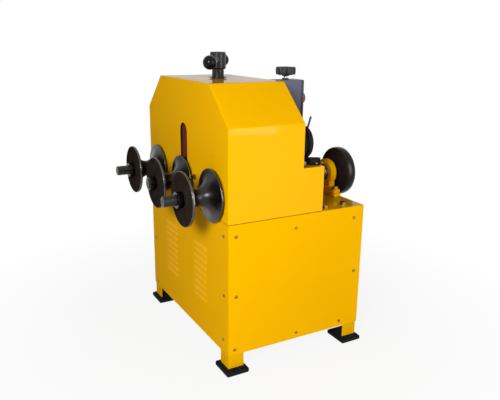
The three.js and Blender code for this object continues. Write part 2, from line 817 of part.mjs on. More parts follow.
const ballFace = tommyBallSpacing / 2 - ballDiameter / 2 + ballSocketDepth - gap;
const bar = rod('x', tommyDiameter, [-ballFace, ballFace], [0, 0], 16);
add('tommy_bar', alongTommy(bar, tommyOffset), brightSteel);
for (const [name, side] of [['near', 1], ['far', -1]]) {
  const ball = new THREE.SphereGeometry(ballDiameter / 2, 16, 10);
  const mouth = -side * (ballDiameter / 2 + cutOverrun);
  const bottom = -side * (ballDiameter / 2 - ballSocketDepth);
  const socketEnds = [Math.min(mouth, bottom), Math.max(mouth, bottom)];
  const knob = cut(ball, [drill('x', tommyDiameter + gap * 2, socketEnds, [0, 0])]);
  add(`ball_knob_${name}`, alongTommy(knob, tommyOffset + side * tommyBallSpacing / 2), blackPlastic);
}

// Drive shaft with its gear, sprocket, rear wheel and nut
const seatRadius = shaftDiameter / 2;
add('drive_shaft', turned('y', [
  [0, plateRear], [seatRadius, plateRear], [seatRadius, driveShaftEnd - endChamfer],
  [seatRadius - endChamfer, driveShaftEnd], [0, driveShaftEnd],
], [driveX, axisZ], 24), brightSteel);
add('drive_gear', gear(driveX, halfToothShare, boreFor(shaftDiameter)), castGrey);
add('drive_sprocket', sprocket(sprocketBore, axisZ), blackSteel);
const wheelBack = wheelPlace + wheelWidth;
const wheelBore = seatRadius + gap;
add('rear_wheel', turned('y', [
  [wheelBore, wheelPlace], [wheelHubDiameter / 2, wheelPlace],
  [wheelHubDiameter / 2, wheelPlace + wheelRecess],
  [wheelRimInnerDiameter / 2, wheelPlace + wheelRecess], [wheelRimInnerDiameter / 2, wheelPlace],
  [wheelDiameter / 2 - wheelEdge, wheelPlace], [wheelDiameter / 2, wheelPlace + wheelEdge],
  [wheelDiameter / 2, wheelBack - wheelEdge], [wheelDiameter / 2 - wheelEdge, wheelBack],
  [wheelRimInnerDiameter / 2, wheelBack], [wheelRimInnerDiameter / 2, wheelBack - wheelRecess],
  [wheelHubDiameter / 2, wheelBack - wheelRecess], [wheelHubDiameter / 2, wheelBack],
  [wheelBore, wheelBack], [wheelBore, wheelPlace],
], [driveX, axisZ], 48), blackSteel);
const rearNutFront = wheelBack + gap;
const hexagon = [0, 1, 2, 3, 4, 5].map((i) => [
  driveX + rearNutDiameter / 2 * Math.cos(Math.PI * i / 3),
  axisZ + rearNutDiameter / 2 * Math.sin(Math.PI * i / 3),
]);
add('rear_nut', upright(
  hexagon, [rearNutFront, rearNutFront + rearNutLength], [roundHole(driveX, axisZ, boreFor(shaftDiameter))],
), blackSteel);

// Pillow block on its spacer bar
const spacerY = [spacerPlace, spacerPlace + spacerWidth];
const spacerTop = onBed + spacerHeight;
add('spacer_bar', block(
  [driveX - spacerLength / 2, driveX + spacerLength / 2], spacerY, [onBed, spacerTop],
), yellowPaint);
const pillowY = [pillowPlace, pillowPlace + pillowWidth];
const pillowBottom = spacerTop + gap;
const pillowBody = joined([
  rod('y', pillowDiameter, pillowY, [driveX, axisZ], 32),
  block(
    [driveX - pillowFootLength / 2, driveX + pillowFootLength / 2], spacerY,
    [pillowBottom, pillowBottom + pillowFootHeight],
  ),
  block([driveX - pillowWebWidth / 2, driveX + pillowWebWidth / 2], pillowY, [pillowBottom, axisZ]),
]);
const throughPillow = [pillowPlace - cutOverrun, pillowPlace + pillowWidth + cutOverrun];
const belowPillow = block(
  [driveX - pillowDiameter, driveX + pillowDiameter], throughPillow,
  [pillowBottom - pillowDiameter, pillowBottom],
);
const pillowBore = drill('y', boreFor(shaftDiameter), throughPillow, [driveX, axisZ]);
add('pillow_block', cut(pillowBody, [belowPillow, pillowBore]), yellowPaint);

// Chain as a plain loop clear of the teeth, output sprocket on its shaft
function loop(radius) {
  const shape = new THREE.Shape();
  shape.absarc(driveX, axisZ, radius, 0, Math.PI, false);
  shape.absarc(driveX, outputZ, radius, Math.PI, Math.PI * 2, false);
  return shape;
}
const chainSegments = 8;
const chainShape = loop(chainOuter);
chainShape.holes.push(new THREE.Path(loop(chainInner).getPoints(chainSegments).reverse()));
const chain = new THREE.ExtrudeGeometry(
  chainShape, { depth: chainWidth, bevelEnabled: false, curveSegments: chainSegments },
);
add('drive_chain', closed(
  chain.rotateX(Math.PI / 2).translate(0, sprocketPlace + chainWidth / 2, 0),
), blackSteel);
const outputShaft = rod(
  'y', outputShaftDiameter, [gearboxBack - outputSocketDepth, sprocketY[1] + shaftTail], [driveX, outputZ],
);
add('output_sprocket', joined([sprocket(0, outputZ), outputShaft]), blackSteel);

// Shelf, worm gearbox and motor
add('motor_shelf', block(
  [-frameHalf + legWall + gap, frameHalf - legWall - gap], [shelfFront, shelfBack],
  [lowerRailTop + gap, shelfTop],
), frameSteel);
const gearboxX = [driveX - gearboxWidth / 2, driveX + gearboxWidth / 2];
const gearboxBody = joined([
  block(gearboxX, [gearboxFront, gearboxBack], [shelfTop + gap, outputZ]),
  rod('y', wheelHouseDiameter, [gearboxFront, gearboxBack], [driveX, outputZ]),
]);
const gearboxSocket = drill(
  'y', boreFor(outputShaftDiameter), [gearboxBack - outputSocketDepth - gap, gearboxBack + cutOverrun],
  [driveX, outputZ],
);
add('worm_gearbox', cut(gearboxBody, [gearboxSocket]), castGrey);
const gearboxMiddle = (gearboxFront + gearboxBack) / 2;
const motorRight = gearboxX[0] - gap;
add('motor', joined([
  rod('x', motorNeckDiameter, [motorRight - motorNeckLength * 2, motorRight], [gearboxMiddle, motorZ]),
  rod(
    'x', motorDiameter, [motorRight - motorNeckLength - motorLength, motorRight - motorNeckLength],
    [gearboxMiddle, motorZ],
  ),
]), motorBlue);

// Control box, open at the back under its cover
const boxOuter = block([boxLeft, boxRight], [boxFront, boxBack], [bedTop + boxBottom, bedTop + boxTop]);
const boxHollow = block(
  [boxLeft + sheet, boxRight - sheet], [boxFront + sheet, boxBack + cutOverrun],
  [bedTop + boxBottom + sheet, bedTop + boxTop - sheet],
);
const throughTop = [bedTop + boxTop - sheet - cutOverrun, bedTop + boxTop + cutOverrun];
const stemHole = drill('z', boreFor(knobStemDiameter), throughTop, [knobPlaceX, knobPlaceY]);
const glandBore = drill(
  'x', cableDiameter + gap * 2, [boxRight - sheet - cutOverrun, boxRight + cutOverrun],
  [glandPlaceY, bedTop + glandHeight],
);
add('control_box', cut(boxOuter, [boxHollow, stemHole, glandBore]), greyPaint);
const stopZ = bedTop + boxTop - stopDrop;
const coverOutline = rectangle(
  [boxLeft - coverEdge, boxRight + coverEdge],
  [bedTop + boxBottom - coverEdge, bedTop + boxTop],
);
const coverHoles = [
  roundHole(stopPlaceX, stopZ, boreFor(stopNeckDiameter)),
];
add('control_box_cover', upright(coverOutline, [boxBack + gap, coverBack], coverHoles), greyPaint);

// Selector knob on its stem, and the stop button
const stemBottom = bedTop + boxTop - knobStemDepth;
const knobBottom = bedTop + boxTop + knobLift;
add('selector_stem', rod(
  'z', knobStemDiameter, [stemBottom, knobBottom + knobSocketDepth], [knobPlaceX, knobPlaceY], 16,
), brightSteel);
const knobOutline = [];
const knobOutlineSteps = 36;
for (let i = 0; i < knobOutlineSteps; i += 1) {
  const angle = Math.PI * 2 * i / knobOutlineSteps;
  const radius = knobDiameter / 2 - knobLobeDepth * (1 - Math.cos(angle * knobLobes)) / 2;
  knobOutline.push(new THREE.Vector2(radius * Math.cos(angle), radius * Math.sin(angle)));
}
const knobBlank = new THREE.ExtrudeGeometry(
  new THREE.Shape(knobOutline), { depth: knobHeight, bevelEnabled: false },
).translate(knobPlaceX, knobPlaceY, knobBottom);
const knobSocket = drill(
  'z', boreFor(knobStemDiameter), [knobBottom - cutOverrun, knobBottom + knobSocketDepth + gap],
  [knobPlaceX, knobPlaceY],
);
add('selector_knob', cut(knobBlank, [knobSocket]), blackPlastic);

const stopUnder = coverBack + gap + stopTravel;
const stopRear = stopUnder + stopButtonHeight;
add('emergency_stop', turned('y', [
  [0, boxBack - cutOverrun], [stopNeckDiameter / 2, boxBack - cutOverrun],
  [stopNeckDiameter / 2, stopUnder],
  [stopButtonDiameter / 2, stopUnder], [stopButtonDiameter / 2, stopRear - endChamfer * 2],
  [stopButtonDiameter / 2 - endChamfer * 2, stopRear], [0, stopRear],
], [stopPlaceX, stopZ], 24), redPlastic);

// Cable gland with a tapered relief
const glandX = boxRight + gap;
const reliefEnd = glandX + glandLength + glandReliefLength;
const cableBore = cableDiameter / 2 + gap;
const glandProfile = [
  [cableBore, glandX], [glandDiameter / 2, glandX], [glandDiameter / 2, glandX + glandLength],
  [cableBore + endChamfer, reliefEnd], [cableBore, reliefEnd], [cableBore, glandX],
];
const gland = turned('y', glandProfile, [0, 0], 16).rotateZ(-Math.PI / 2);
add('cable_gland', gland.translate(0, glandPlaceY, bedTop + glandHeight), blackPlastic);

// Coil: one tube that spirals in and out in turn, climbing a layer at every reversal
const layerTurns = coilTurns / coilLayers;
const coilY = hoodDepth + gap * 2 + hookPlateThickness + coilStandOff + cableDiameter / 2;
const coilZ = stepTop + gap + plugThickness / 2 + coilOuterRadius;
function coilPoint(turn) {
  const inward = Math.abs((turn / layerTurns + 1) % 2 - 1);
  const radius = coilOuterRadius - coilPitch * layerTurns * inward;
  let layer = 0;
  for (let reversal = 1; reversal < coilLayers; reversal += 1) {
    const past = (turn - reversal * layerTurns) / coilReversal + 1 / 2;
    layer += (1 - Math.cos(Math.PI * THREE.MathUtils.clamp(past, 0, 1))) / 2;
  }
  const angle = Math.PI * 2 * turn - Math.PI / 2;
  return new THREE.Vector3(
    coilPlaceX + radius * Math.cos(angle),
    coilY + coilLayerPitch * layer,
    coilZ + radius * Math.sin(angle),
  );
}

const coilSteps = coilTurns * coilStepsPerTurn;
const coilPoints = [];
for (let i = 0; i <= coilSteps; i += 1) {
  coilPoints.push(coilPoint(i / coilStepsPerTurn));
}
const coilEnd = coilPoints[coilPoints.length - 1];
coilPoints.unshift(coilPoints[0].clone().sub(new THREE.Vector3(coilLeadIn, 0, 0)));
coilPoints.push(coilEnd.clone().add(new THREE.Vector3(coilLeadOut, 0, 0)));

// A closed tube on points, its section carried along without twist
function tubeOn(points, diameter, tubeSides) {
  const rings = [];
  const tangents = points.map((point, i) => {
    const before = points[Math.max(i - 1, 0)];
    const after = points[Math.min(i + 1, points.length - 1)];
    return after.clone().sub(before).normalize();
  });
  tangents[1].copy(tangents[0]);
  tangents[points.length - 2].copy(tangents[points.length - 1]);
  const normal = new THREE.Vector3(0, 1, 0);
  points.forEach((point, i) => {
    normal.addScaledVector(tangents[i], -normal.dot(tangents[i])).normalize();
    const side = new THREE.Vector3().crossVectors(tangents[i], normal);
    for (let k = 0; k < tubeSides; k += 1) {
      const angle = Math.PI * 2 * k / tubeSides;
      const spoke = normal.clone().multiplyScalar(Math.cos(angle)).addScaledVector(side, Math.sin(angle));
      rings.push(point.clone().addScaledVector(spoke, diameter / 2));
    }
  });
  const faces = [];
  for (let i = 0; i < points.length - 1; i += 1) {
    for (let k = 0; k < tubeSides; k += 1) {
      const next = (k + 1) % tubeSides;
      const [a, b] = [i * tubeSides + k, i * tubeSides + next];
      const [c, d] = [a + tubeSides, b + tubeSides];
      faces.push(a, b, d, a, d, c);
    }
  }
  const last = (points.length - 1) * tubeSides;
  for (let k = 1; k < tubeSides - 1; k += 1) {
    faces.push(0, k + 1, k, last, last + k, last + k + 1);
  }
  const geometry = new THREE.BufferGeometry().setFromPoints(rings);
  geometry.setIndex(faces);
  return closed(geometry);
}
add('power_cable_coil', tubeOn(coilPoints, cableDiameter, coilSides), blackRubber);

// Least gap of the coil to itself, between points over a third of a turn apart
let leastGap = Infinity;
for (let i = 0; i < coilPoints.length; i += 1) {
  for (let j = i + coilStepsPerTurn / 3; j < coilPoints.length; j += 1) {
    leastGap = Math.min(leastGap, coilPoints[i].distanceTo(coilPoints[j]) - cableDiameter);
  }
}
console.log(`least gap of the coil to itself: ${leastGap.toFixed(2)} mm`);

// Free stretch of cable from the gland to the coil, points chosen by hand
const coilStart = coilPoints[0];
const freeRoute = [
  [102, 276, 627.3], [110, 275.7, 626.2], [118, 274.9, 623.2], [126, 273.3, 618.6],
  [134, 271.1, 613.1], [142, 268.7, 607.4], [150, 266.1, 602.2], [158, 263.6, 598],
  [166, 261.4, 595.1], [174, 259.4, 593.4], [182, 257.8, 592.9], [190, 256.5, 593.4],
  [198, 255.8, 595.2], [205, 255.6, 597.1], [211, 255.6, 598.4], [214, 255.6, 598.6],
].map(([x, y, z]) => new THREE.Vector3(x, y, z));
const freeStart = new THREE.Vector3(reliefEnd + gap, glandPlaceY, bedTop + glandHeight);
const freeEnd = coilStart.clone().sub(new THREE.Vector3(gap, 0, 0));
const freeCurve = new THREE.CatmullRomCurve3([freeStart, ...freeRoute, freeEnd], false, 'centripetal');
const section = new THREE.Shape();
for (let k = 0; k < cableSides; k += 1) {
  const angle = Math.PI * 2 * k / cableSides;
  const [u, v] = [Math.cos(angle) * cableDiameter / 2, Math.sin(angle) * cableDiameter / 2];
  if (k === 0) section.moveTo(u, v);
  else section.lineTo(u, v);
}
section.closePath();
add('power_cable', closed(new THREE.ExtrudeGeometry(
  section, { steps: 12, bevelEnabled: false, extrudePath: freeCurve },
)), blackRubber);

// Plug lying on the step, its relief towards the coil
const plugStart = coilPoints[coilPoints.length - 1].clone().add(new THREE.Vector3(gap, 0, 0));
const plugBodyStart = plugStart.x + plugReliefLength;
const plugBodyEnd = plugBodyStart + plugBodyLength;
const plugFront = plugStart.y - cableDiameter / 2;
const relief = turned('y', [
  [0, 0], [cableDiameter / 2 + plugReliefWall, 0], [plugReliefDiameter / 2, plugReliefLength],
  [plugReliefDiameter / 2, plugReliefLength + cutOverrun], [0, plugReliefLength + cutOverrun],
], [0, 0], 16).rotateZ(-Math.PI / 2).translate(plugStart.x, plugStart.y, plugStart.z);
const plugBody = block(
  [plugBodyStart, plugBodyEnd],
  [plugFront, plugFront + plugWidth],
  [plugStart.z - plugThickness / 2, plugStart.z + plugThickness / 2],
);
const pinMiddle = plugFront + plugWidth / 2;
const pins = [-1, 1].map((side) => rod(
  'x', plugPinDiameter, [plugBodyEnd - plugPinRoot, plugBodyEnd + plugPinLength],
  [pinMiddle + side * plugPinSpacing / 2, plugStart.z], 12,
));
add('mains_plug', joined([relief, plugBody, ...pins]), blackRubber);

// Hook on the rear wall of the hood that holds the coil by its top
const coilInner = coilOuterRadius - coilPitch * layerTurns - cableDiameter / 2;
const hookZ = coilZ + coilInner - gap - hookRodDiameter / 2;
const hookPath = new THREE.CurvePath();
const hookBack = hoodDepth + gap + hookPlateThickness / 2;
const straightEnd = hookBack + hookReach - hookBend;
const at = (y, z) => new THREE.Vector3(coilPlaceX, y, z);
hookPath.add(new THREE.LineCurve3(at(hookBack, hookZ), at(straightEnd, hookZ)));
hookPath.add(new THREE.QuadraticBezierCurve3(
  at(straightEnd, hookZ), at(straightEnd + hookBend, hookZ), at(straightEnd + hookBend, hookZ + hookBend),
));
hookPath.add(new THREE.LineCurve3(
  at(straightEnd + hookBend, hookZ + hookBend), at(straightEnd + hookBend, hookZ + hookBend + hookRise),
));
const hookSection = new THREE.Shape();
hookSection.absarc(0, 0, hookRodDiameter / 2, 0, Math.PI * 2, false);
const hookRod = closed(new THREE.ExtrudeGeometry(
  hookSection, { steps: 16, bevelEnabled: false, extrudePath: hookPath, curveSegments: 4 },
));
const hookPlate = block(
  [coilPlaceX - hookPlateWidth / 2, coilPlaceX + hookPlateWidth / 2],
  [hoodDepth + gap, hoodDepth + gap + hookPlateThickness],
  [hookZ - hookPlateHeight / 2, hookZ + hookPlateHeight / 2],
);
add('cable_hook', joined([hookPlate, hookRod]), blackSteel);

export default machine;
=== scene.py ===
import math

import bmesh
import bpy
from mathutils import Matrix, Vector
from mathutils.geometry import tessellate_polygon


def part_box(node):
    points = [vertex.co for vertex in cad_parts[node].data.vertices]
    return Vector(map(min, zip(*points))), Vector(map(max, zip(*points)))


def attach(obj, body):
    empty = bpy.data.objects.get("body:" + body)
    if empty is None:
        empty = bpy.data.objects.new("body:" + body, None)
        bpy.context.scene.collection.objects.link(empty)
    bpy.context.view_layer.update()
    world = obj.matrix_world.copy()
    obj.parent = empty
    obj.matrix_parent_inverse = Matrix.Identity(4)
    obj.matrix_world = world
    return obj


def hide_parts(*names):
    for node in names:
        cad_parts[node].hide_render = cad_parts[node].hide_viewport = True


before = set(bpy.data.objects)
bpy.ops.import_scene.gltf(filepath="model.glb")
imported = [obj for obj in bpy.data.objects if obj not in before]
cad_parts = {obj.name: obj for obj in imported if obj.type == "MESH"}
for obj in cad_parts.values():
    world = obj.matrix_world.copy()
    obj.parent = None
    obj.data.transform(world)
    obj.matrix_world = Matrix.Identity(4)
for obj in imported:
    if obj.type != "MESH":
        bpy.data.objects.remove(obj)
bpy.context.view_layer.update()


# Places that the frame gives, in metres
def ends(node):
    """The low and high corners of a node."""
    first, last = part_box(node)
    return Vector(first), Vector(last)


def low(node):
    return ends(node)[0]


def high(node):
    return ends(node)[1]


def centre(node):
    return (low(node) + high(node)) / 2


SHEET = 0.002
GAP = 0.0003
OVERRUN = 0.01
HALF = high("right_panel").x
FRONT = high("front_panel").y - SHEET
BACK = high("rear_panel").y
BED = high("bed_plate").z
PANEL_FOOT = low("right_panel").z
FRAME_HALF = high("base_frame").x
FRAME_FRONT = low("base_frame").y
FRAME_BACK = high("base_frame").y
LEG_FOOT = low("base_frame").z
LEG_TOP = high("base_frame").z
AXIS = centre("left_roller").z
ROLLER_X = centre("right_roller").x
DRIVE_X = centre("drive_shaft").x
SCREW_Y = centre("press_screw").y
HOOD_TOP = high("hood").z
STEP_BACK = high("hood").y

# Sizes of the shell and its openings
HOOD_DEPTH = 0.240
HOOD_SHOULDER = 0.262
HOOD_TOP_HALF = 0.183
STEP_HEIGHT = 0.136
SEAM = 0.0022
BEND = 0.0024
SLOT_HALF = 0.0275
SLOT_TOP = 0.241
SHAFT_HOLE = 0.022
LEG_WIDTH = 0.050
LEG_WALL = 0.005
RAIL_HEIGHT = 0.040
LOWER_RAIL = (PANEL_FOOT + 0.005, PANEL_FOOT + 0.045)

# Rollers, shafts and wheel
SHAFT_RADIUS = 0.015
SHOULDER_RADIUS = 0.019
ROLLER_RADIUS = 0.077
ROLLER_LENGTH = 0.091
THROAT_RADIUS = 0.025
RIM = 0.007
WHEEL_RADIUS = 0.080
WHEEL_HUB = 0.030
WHEEL_RIM_INNER = 0.065
WHEEL_RECESS = 0.003
WHEEL_CROWN = 0.003
SCREW_RADIUS = 0.018
THREAD_PITCH = 0.006
BAR_RADIUS = 0.007
BALL_RADIUS = 0.020
BALL_SPACING = 0.220

# Louvres
LOUVRE_LENGTH = 0.094
LOUVRE_PITCH = 0.021
LOUVRE_HEIGHT = 0.010
LOUVRE_PROUD = 0.0046
LOUVRE_ROWS = 9
LOUVRE_COLUMN = 0.114
LOUVRE_DROP = 0.113
LOUVRE_END = 0.009

# Cable
CABLE = 0.008
COIL_TURNS = 6
COIL_LAYERS = 4
COIL_REVERSAL = 0.5
COIL_PITCH = 0.0088
COIL_RADIUS = 0.050
COIL_X = 0.231
COIL_Y = 0.2556
COIL_LEAD = 0.012
COIL_Z = BED + STEP_HEIGHT + GAP + 0.010 + COIL_RADIUS


def place(x, y, z):
    """A point whose depth is counted from the cabinet's front face."""
    return Vector((x, FRONT + y, z))


def above(x, y, z):
    """A point whose depth is counted from the front face and height from the bed."""
    return Vector((x, FRONT + y, BED + z))


# Camera at the photo's viewpoint
CAMERA_PLACE = above(1.608, -0.664, 0.486)
CAMERA_AZIMUTH = math.radians(60.83)
CAMERA_ELEVATION = math.radians(15.68)
CAMERA_ROLL = math.radians(0.67)
CAMERA_LENS = 41.39
CAMERA_SENSOR = 36


def add_object(name, data):
    obj = bpy.data.objects.new(name, data)
    bpy.context.scene.collection.objects.link(obj)
    return obj


def make_camera():
    turn = Matrix.Rotation(CAMERA_AZIMUTH, 4, "Z")
    tilt = Matrix.Rotation(math.pi / 2 - CAMERA_ELEVATION, 4, "X")
    roll = Matrix.Rotation(CAMERA_ROLL, 4, "Z")
    data = bpy.data.cameras.new("camera")
    data.lens = CAMERA_LENS
    data.sensor_width = CAMERA_SENSOR
    camera = add_object("camera", data)
    camera.matrix_world = Matrix.Translation(CAMERA_PLACE) @ turn @ tilt @ roll
    bpy.context.scene.camera = camera


make_camera()


# Materials, each with its own nodes
class Tree:
    """A node tree with short calls for its nodes and links."""

    def __init__(self, owner):
        owner.use_nodes = True
        self.nodes = owner.node_tree.nodes
        self.links = owner.node_tree.links

    def node(self, kind, **values):
        node = self.nodes.new("ShaderNode" + kind)
        for key, value in values.items():
            socket = key.replace("_", " ")
            if socket in node.inputs:
                node.inputs[socket].default_value = value
            else:
                setattr(node, key, value)
        return node

    def link(self, a, b):
        self.links.new(a, b)

    def maths(self, operation, a, b):
        node = self.node("Math", operation=operation)
        self.link(a, node.inputs[0])
        self.link(b, node.inputs[1])
        return node.outputs[0]

    def spread(self, value, low_end, high_end, start=0.3, end=0.7, **settings):
        """Maps a value from start and end to two numbers."""
        node = self.node(
            "MapRange", From_Min=start, From_Max=end, To_Min=low_end, To_Max=high_end, **settings,
        )
        self.link(value, node.inputs["Value"])
        return node.outputs["Result"]


class Look(Tree):
    """A material whose shader is fed by procedural nodes."""

    def __init__(self, name, roughness=0.5, metallic=0.0, **sockets):
        self.material = bpy.data.materials.new(name)
        super().__init__(self.material)
        self.shader = self.nodes["Principled BSDF"]
        sockets.update(Roughness=roughness, Metallic=metallic)
        for socket, value in sockets.items():
            self.shader.inputs[socket.replace("_", " ")].default_value = value

    def noise(self, scale, detail):
        node = self.node("TexNoise", Scale=scale, Detail=detail)
        self.link(self.node("TexCoord").outputs["Object"], node.inputs["Vector"])
        return node.outputs["Fac"]

    def turned(self, scale, detail):
        """Noise that runs round a turned piece, from the length along its profile."""
        node = self.node("TexNoise", noise_dimensions="1D", Scale=scale, Detail=detail)
        self.link(self.node("Attribute", attribute_name="turned").outputs["Fac"], node.inputs["W"])
        return node.outputs["Fac"]

    def colours(self, value, dark, light, start=0.3, end=0.7):
        """Base colour from two linear colours along a noise."""
        ramp = self.node("ValToRGB")
        for element, position, colour in zip(ramp.color_ramp.elements, (start, end), (dark, light)):
            element.position = position
            element.color = (*colour, 1)
        self.link(value, ramp.inputs["Fac"])
        self.link(ramp.outputs["Color"], self.shader.inputs["Base Color"])

    def rough(self, value, low_end, high_end):
        self.link(self.spread(value, low_end, high_end), self.shader.inputs["Roughness"])

    def bump(self, value, depth, strength=1.0):
        node = self.node("Bump", Strength=strength, Distance=depth)
        self.link(value, node.inputs["Height"])
        self.link(node.outputs["Normal"], self.shader.inputs["Normal"])

    def turning_marks(self, dark, light, low_rough, high_rough):
        self.colours(self.noise(38, 6), dark, light)
        self.rough(self.turned(900, 3), low_rough, high_rough)
        self.bump(self.turned(1600, 2), 0.00001, 0.4)


def shade(colour, factor):
    return tuple(channel * factor for channel in colour)


def paint(name, colour, roughness, coat, peel=0.00002, gloss=0.12):
    tint = (*(channel ** 0.5 for channel in colour), 1)
    look = Look(
        name, roughness, Specular_IOR_Level=gloss, Specular_Tint=tint, Coat_Weight=coat, Coat_Roughness=0.05,
    )
    look.colours(look.noise(2.2, 4), shade(colour, 0.965), colour, 0.35, 0.65)
    look.rough(look.noise(14, 5), roughness - 0.05, roughness + 0.07)
    look.bump(look.noise(420, 2), peel)
    return look.material


def black_steel():
    look = Look("blackened steel", 0.3, Specular_IOR_Level=0.0)
    look.turning_marks((0.020, 0.0145, 0.0115), (0.032, 0.0235, 0.0185), 0.3, 0.45)
    return look.material


def turned_steel(name, colour, low_rough, high_rough, stretch=0.0):
    """Bare steel whose highlights stretch across the marks of turning about the Y axis."""
    look = Look(name, low_rough, 1.0, Anisotropic=stretch, Anisotropic_Rotation=0.25)
    look.turning_marks(shade(colour, 0.85), shade(colour, 1.15), low_rough, high_rough)
    tangent = look.node("Tangent", direction_type="RADIAL", axis="Y")
    look.link(tangent.outputs["Tangent"], look.shader.inputs["Tangent"])
    return look.material


def bright_steel():
    look = Look("ground steel", 0.25, 1.0)
    look.colours(look.noise(45, 5), (0.46, 0.46, 0.46), (0.62, 0.62, 0.62))
    look.rough(look.noise(320, 2), 0.18, 0.34)
    return look.material


def oxide_steel():
    look = Look("oiled dark steel", 0.3, Specular_IOR_Level=0.3)
    look.colours(look.noise(55, 5), (0.007, 0.007, 0.006), (0.016, 0.015, 0.014))
    look.rough(look.turned(1200, 2), 0.24, 0.36)
    return look.material


def zinc(name, dark, light):
    look = Look(name, 0.3, 1.0)
    look.colours(look.noise(180, 4), dark, light)
    look.rough(look.noise(300, 2), 0.22, 0.4)
    return look.material


def cast_iron():
    look = Look("machined cast iron", 0.5, 0.8)
    look.colours(look.noise(120, 6), (0.16, 0.165, 0.17), (0.27, 0.275, 0.28))
    look.rough(look.noise(260, 3), 0.42, 0.6)
    look.bump(look.noise(700, 3), 0.00004)
    return look.material


def bronze():
    look = Look("turned bronze", 0.32, 1.0)
    look.colours(look.noise(90, 4), (0.36, 0.19, 0.07), (0.52, 0.30, 0.12))
    look.rough(look.noise(400, 2), 0.24, 0.42)
    return look.material


def plastic(name, colour, low_rough, high_rough, grain=0.00001, gloss=0.5):
    look = Look(name, low_rough, Specular_IOR_Level=gloss)
    look.colours(look.noise(30, 4), shade(colour, 0.85), shade(colour, 1.1))
    look.rough(look.noise(200, 3), low_rough, high_rough)
    look.bump(look.noise(900, 2), grain)
    return look.material


YELLOW = (1.0, 0.505, 0.0)
LOOKS = {
    "yellow": paint("yellow enamel", YELLOW, 0.42, 0.03, 0.00002, 0.0),
    "flank": paint("yellow enamel with more gloss", YELLOW, 0.42, 0.18, 0.00001, 0.0),
    "pressed": paint("yellow enamel on pressed edges", YELLOW, 0.42, 0.14, 0.00001, 0.0),
    # The top look is the yellow darkened to 0.6 of itself as painted shade, under a strong coat, standing in
    # for raking light on upward faces
    "top": paint("yellow enamel darkened as painted shade", shade(YELLOW, 0.6), 0.3, 0.45, 0.000008, 0.02),
    "frame_yellow": paint("yellow enamel on hot rolled steel", shade(YELLOW, 0.9), 0.46, 0.02, 0.00009, 0.0),
    "grey": paint("slate enamel", (0.150, 0.152, 0.205), 0.45, 0.1),
    "blue": paint("blue enamel", (0.035, 0.085, 0.145), 0.4, 0.2),
    "primer": paint("dark red primer", (0.17, 0.04, 0.025), 0.55, 0.05),
    "black_steel": black_steel(),
    "groove": turned_steel("turned groove", (0.040, 0.039, 0.037), 0.31, 0.36, 0.55),
    "rim": turned_steel("rubbed rim", (0.100, 0.095, 0.090), 0.22, 0.28),
    "stub": turned_steel("blackened shaft", (0.040, 0.038, 0.036), 0.22, 0.29),
    "tread": turned_steel("rubbed tread", (0.024, 0.021, 0.019), 0.26, 0.32),
    "bright": bright_steel(),
    "oxide": oxide_steel(),
    "zinc": zinc("zinc plated steel", (0.42, 0.38, 0.28), (0.66, 0.62, 0.50)),
    "yellow_zinc": zinc("yellow zinc plated steel", (0.22, 0.12, 0.02), (0.42, 0.25, 0.07)),
    "iron": cast_iron(),
    "bronze": bronze(),
    "ball": plastic("glossy black phenolic", (0.004, 0.004, 0.005), 0.05, 0.1, 0.000002, 0.14),
    "knob": plastic("dark moulded plastic", (0.018, 0.018, 0.023), 0.35, 0.5, 0.00001, 0.3),
    "black_plastic": plastic("black nylon", (0.012, 0.012, 0.012), 0.38, 0.52),
    "cable": plastic("black cable sheath", (0.010, 0.010, 0.010), 0.4, 0.55, 0.00003, 0.08),
    "rubber": plastic("black rubber", (0.012, 0.013, 0.014), 0.6, 0.8, 0.00008, 0.06),
    "red": plastic("red button plastic", (0.55, 0.008, 0.01), 0.2, 0.3),
    "disc": plastic("yellow disc plastic", (0.85, 0.55, 0.01), 0.35, 0.5),
}


# Forms in mesh code
def clamp(value, bottom, top):
    return max(bottom, min(top, value))


def along(origin, direction, across=None):
    """A matrix whose Z runs along a direction from an origin."""
    z_axis = Vector(direction).normalized()
    x_axis = Vector(across) if across else (Vector((0, 0, 1)) if abs(z_axis.z) < 0.9 else Vector((1, 0, 0)))
    x_axis = (x_axis - z_axis * x_axis.dot(z_axis)).normalized()
    y_axis = z_axis.cross(x_axis)
    matrix = Matrix((x_axis, y_axis, z_axis)).transposed().to_4x4()
    matrix.translation = Vector(origin)
    return matrix


def to_rear(x, y, z=AXIS):
    """A matrix at a place, whose Z runs to the rear."""
    return along((x, y, z), (0, 1, 0))


def upward(x, y, z):
    """A matrix at a place, whose Z runs up."""
    return Matrix.Translation((x, y, z))


def filleted(points, radius, steps=4, closed=True):
    """Rounds the corners of a flat outline; a point can carry its own radius third."""
    result = []
    count = len(points)
    for i, point in enumerate(points):
        here = Vector(point[:2])
        size = point[2] if len(point) > 2 else radius
        if size <= 0 or (not closed and i in (0, count - 1)):
            result.append(tuple(here))
            continue
        before = Vector(points[i - 1][:2]) - here
        after = Vector(points[(i + 1) % count][:2]) - here
        turn = math.pi - before.angle(after)
        if turn < 0.02:
            result.append(tuple(here))
            continue
        reach = min(size * math.tan(turn / 2), before.length * 0.48, after.length * 0.48)
        start = here + before.normalized() * reach
        end = here + after.normalized() * reach
        for k in range(steps + 1):
            t = k / steps
            result.append(tuple(start * (1 - t) ** 2 + here * 2 * t * (1 - t) + end * t ** 2))
    return result


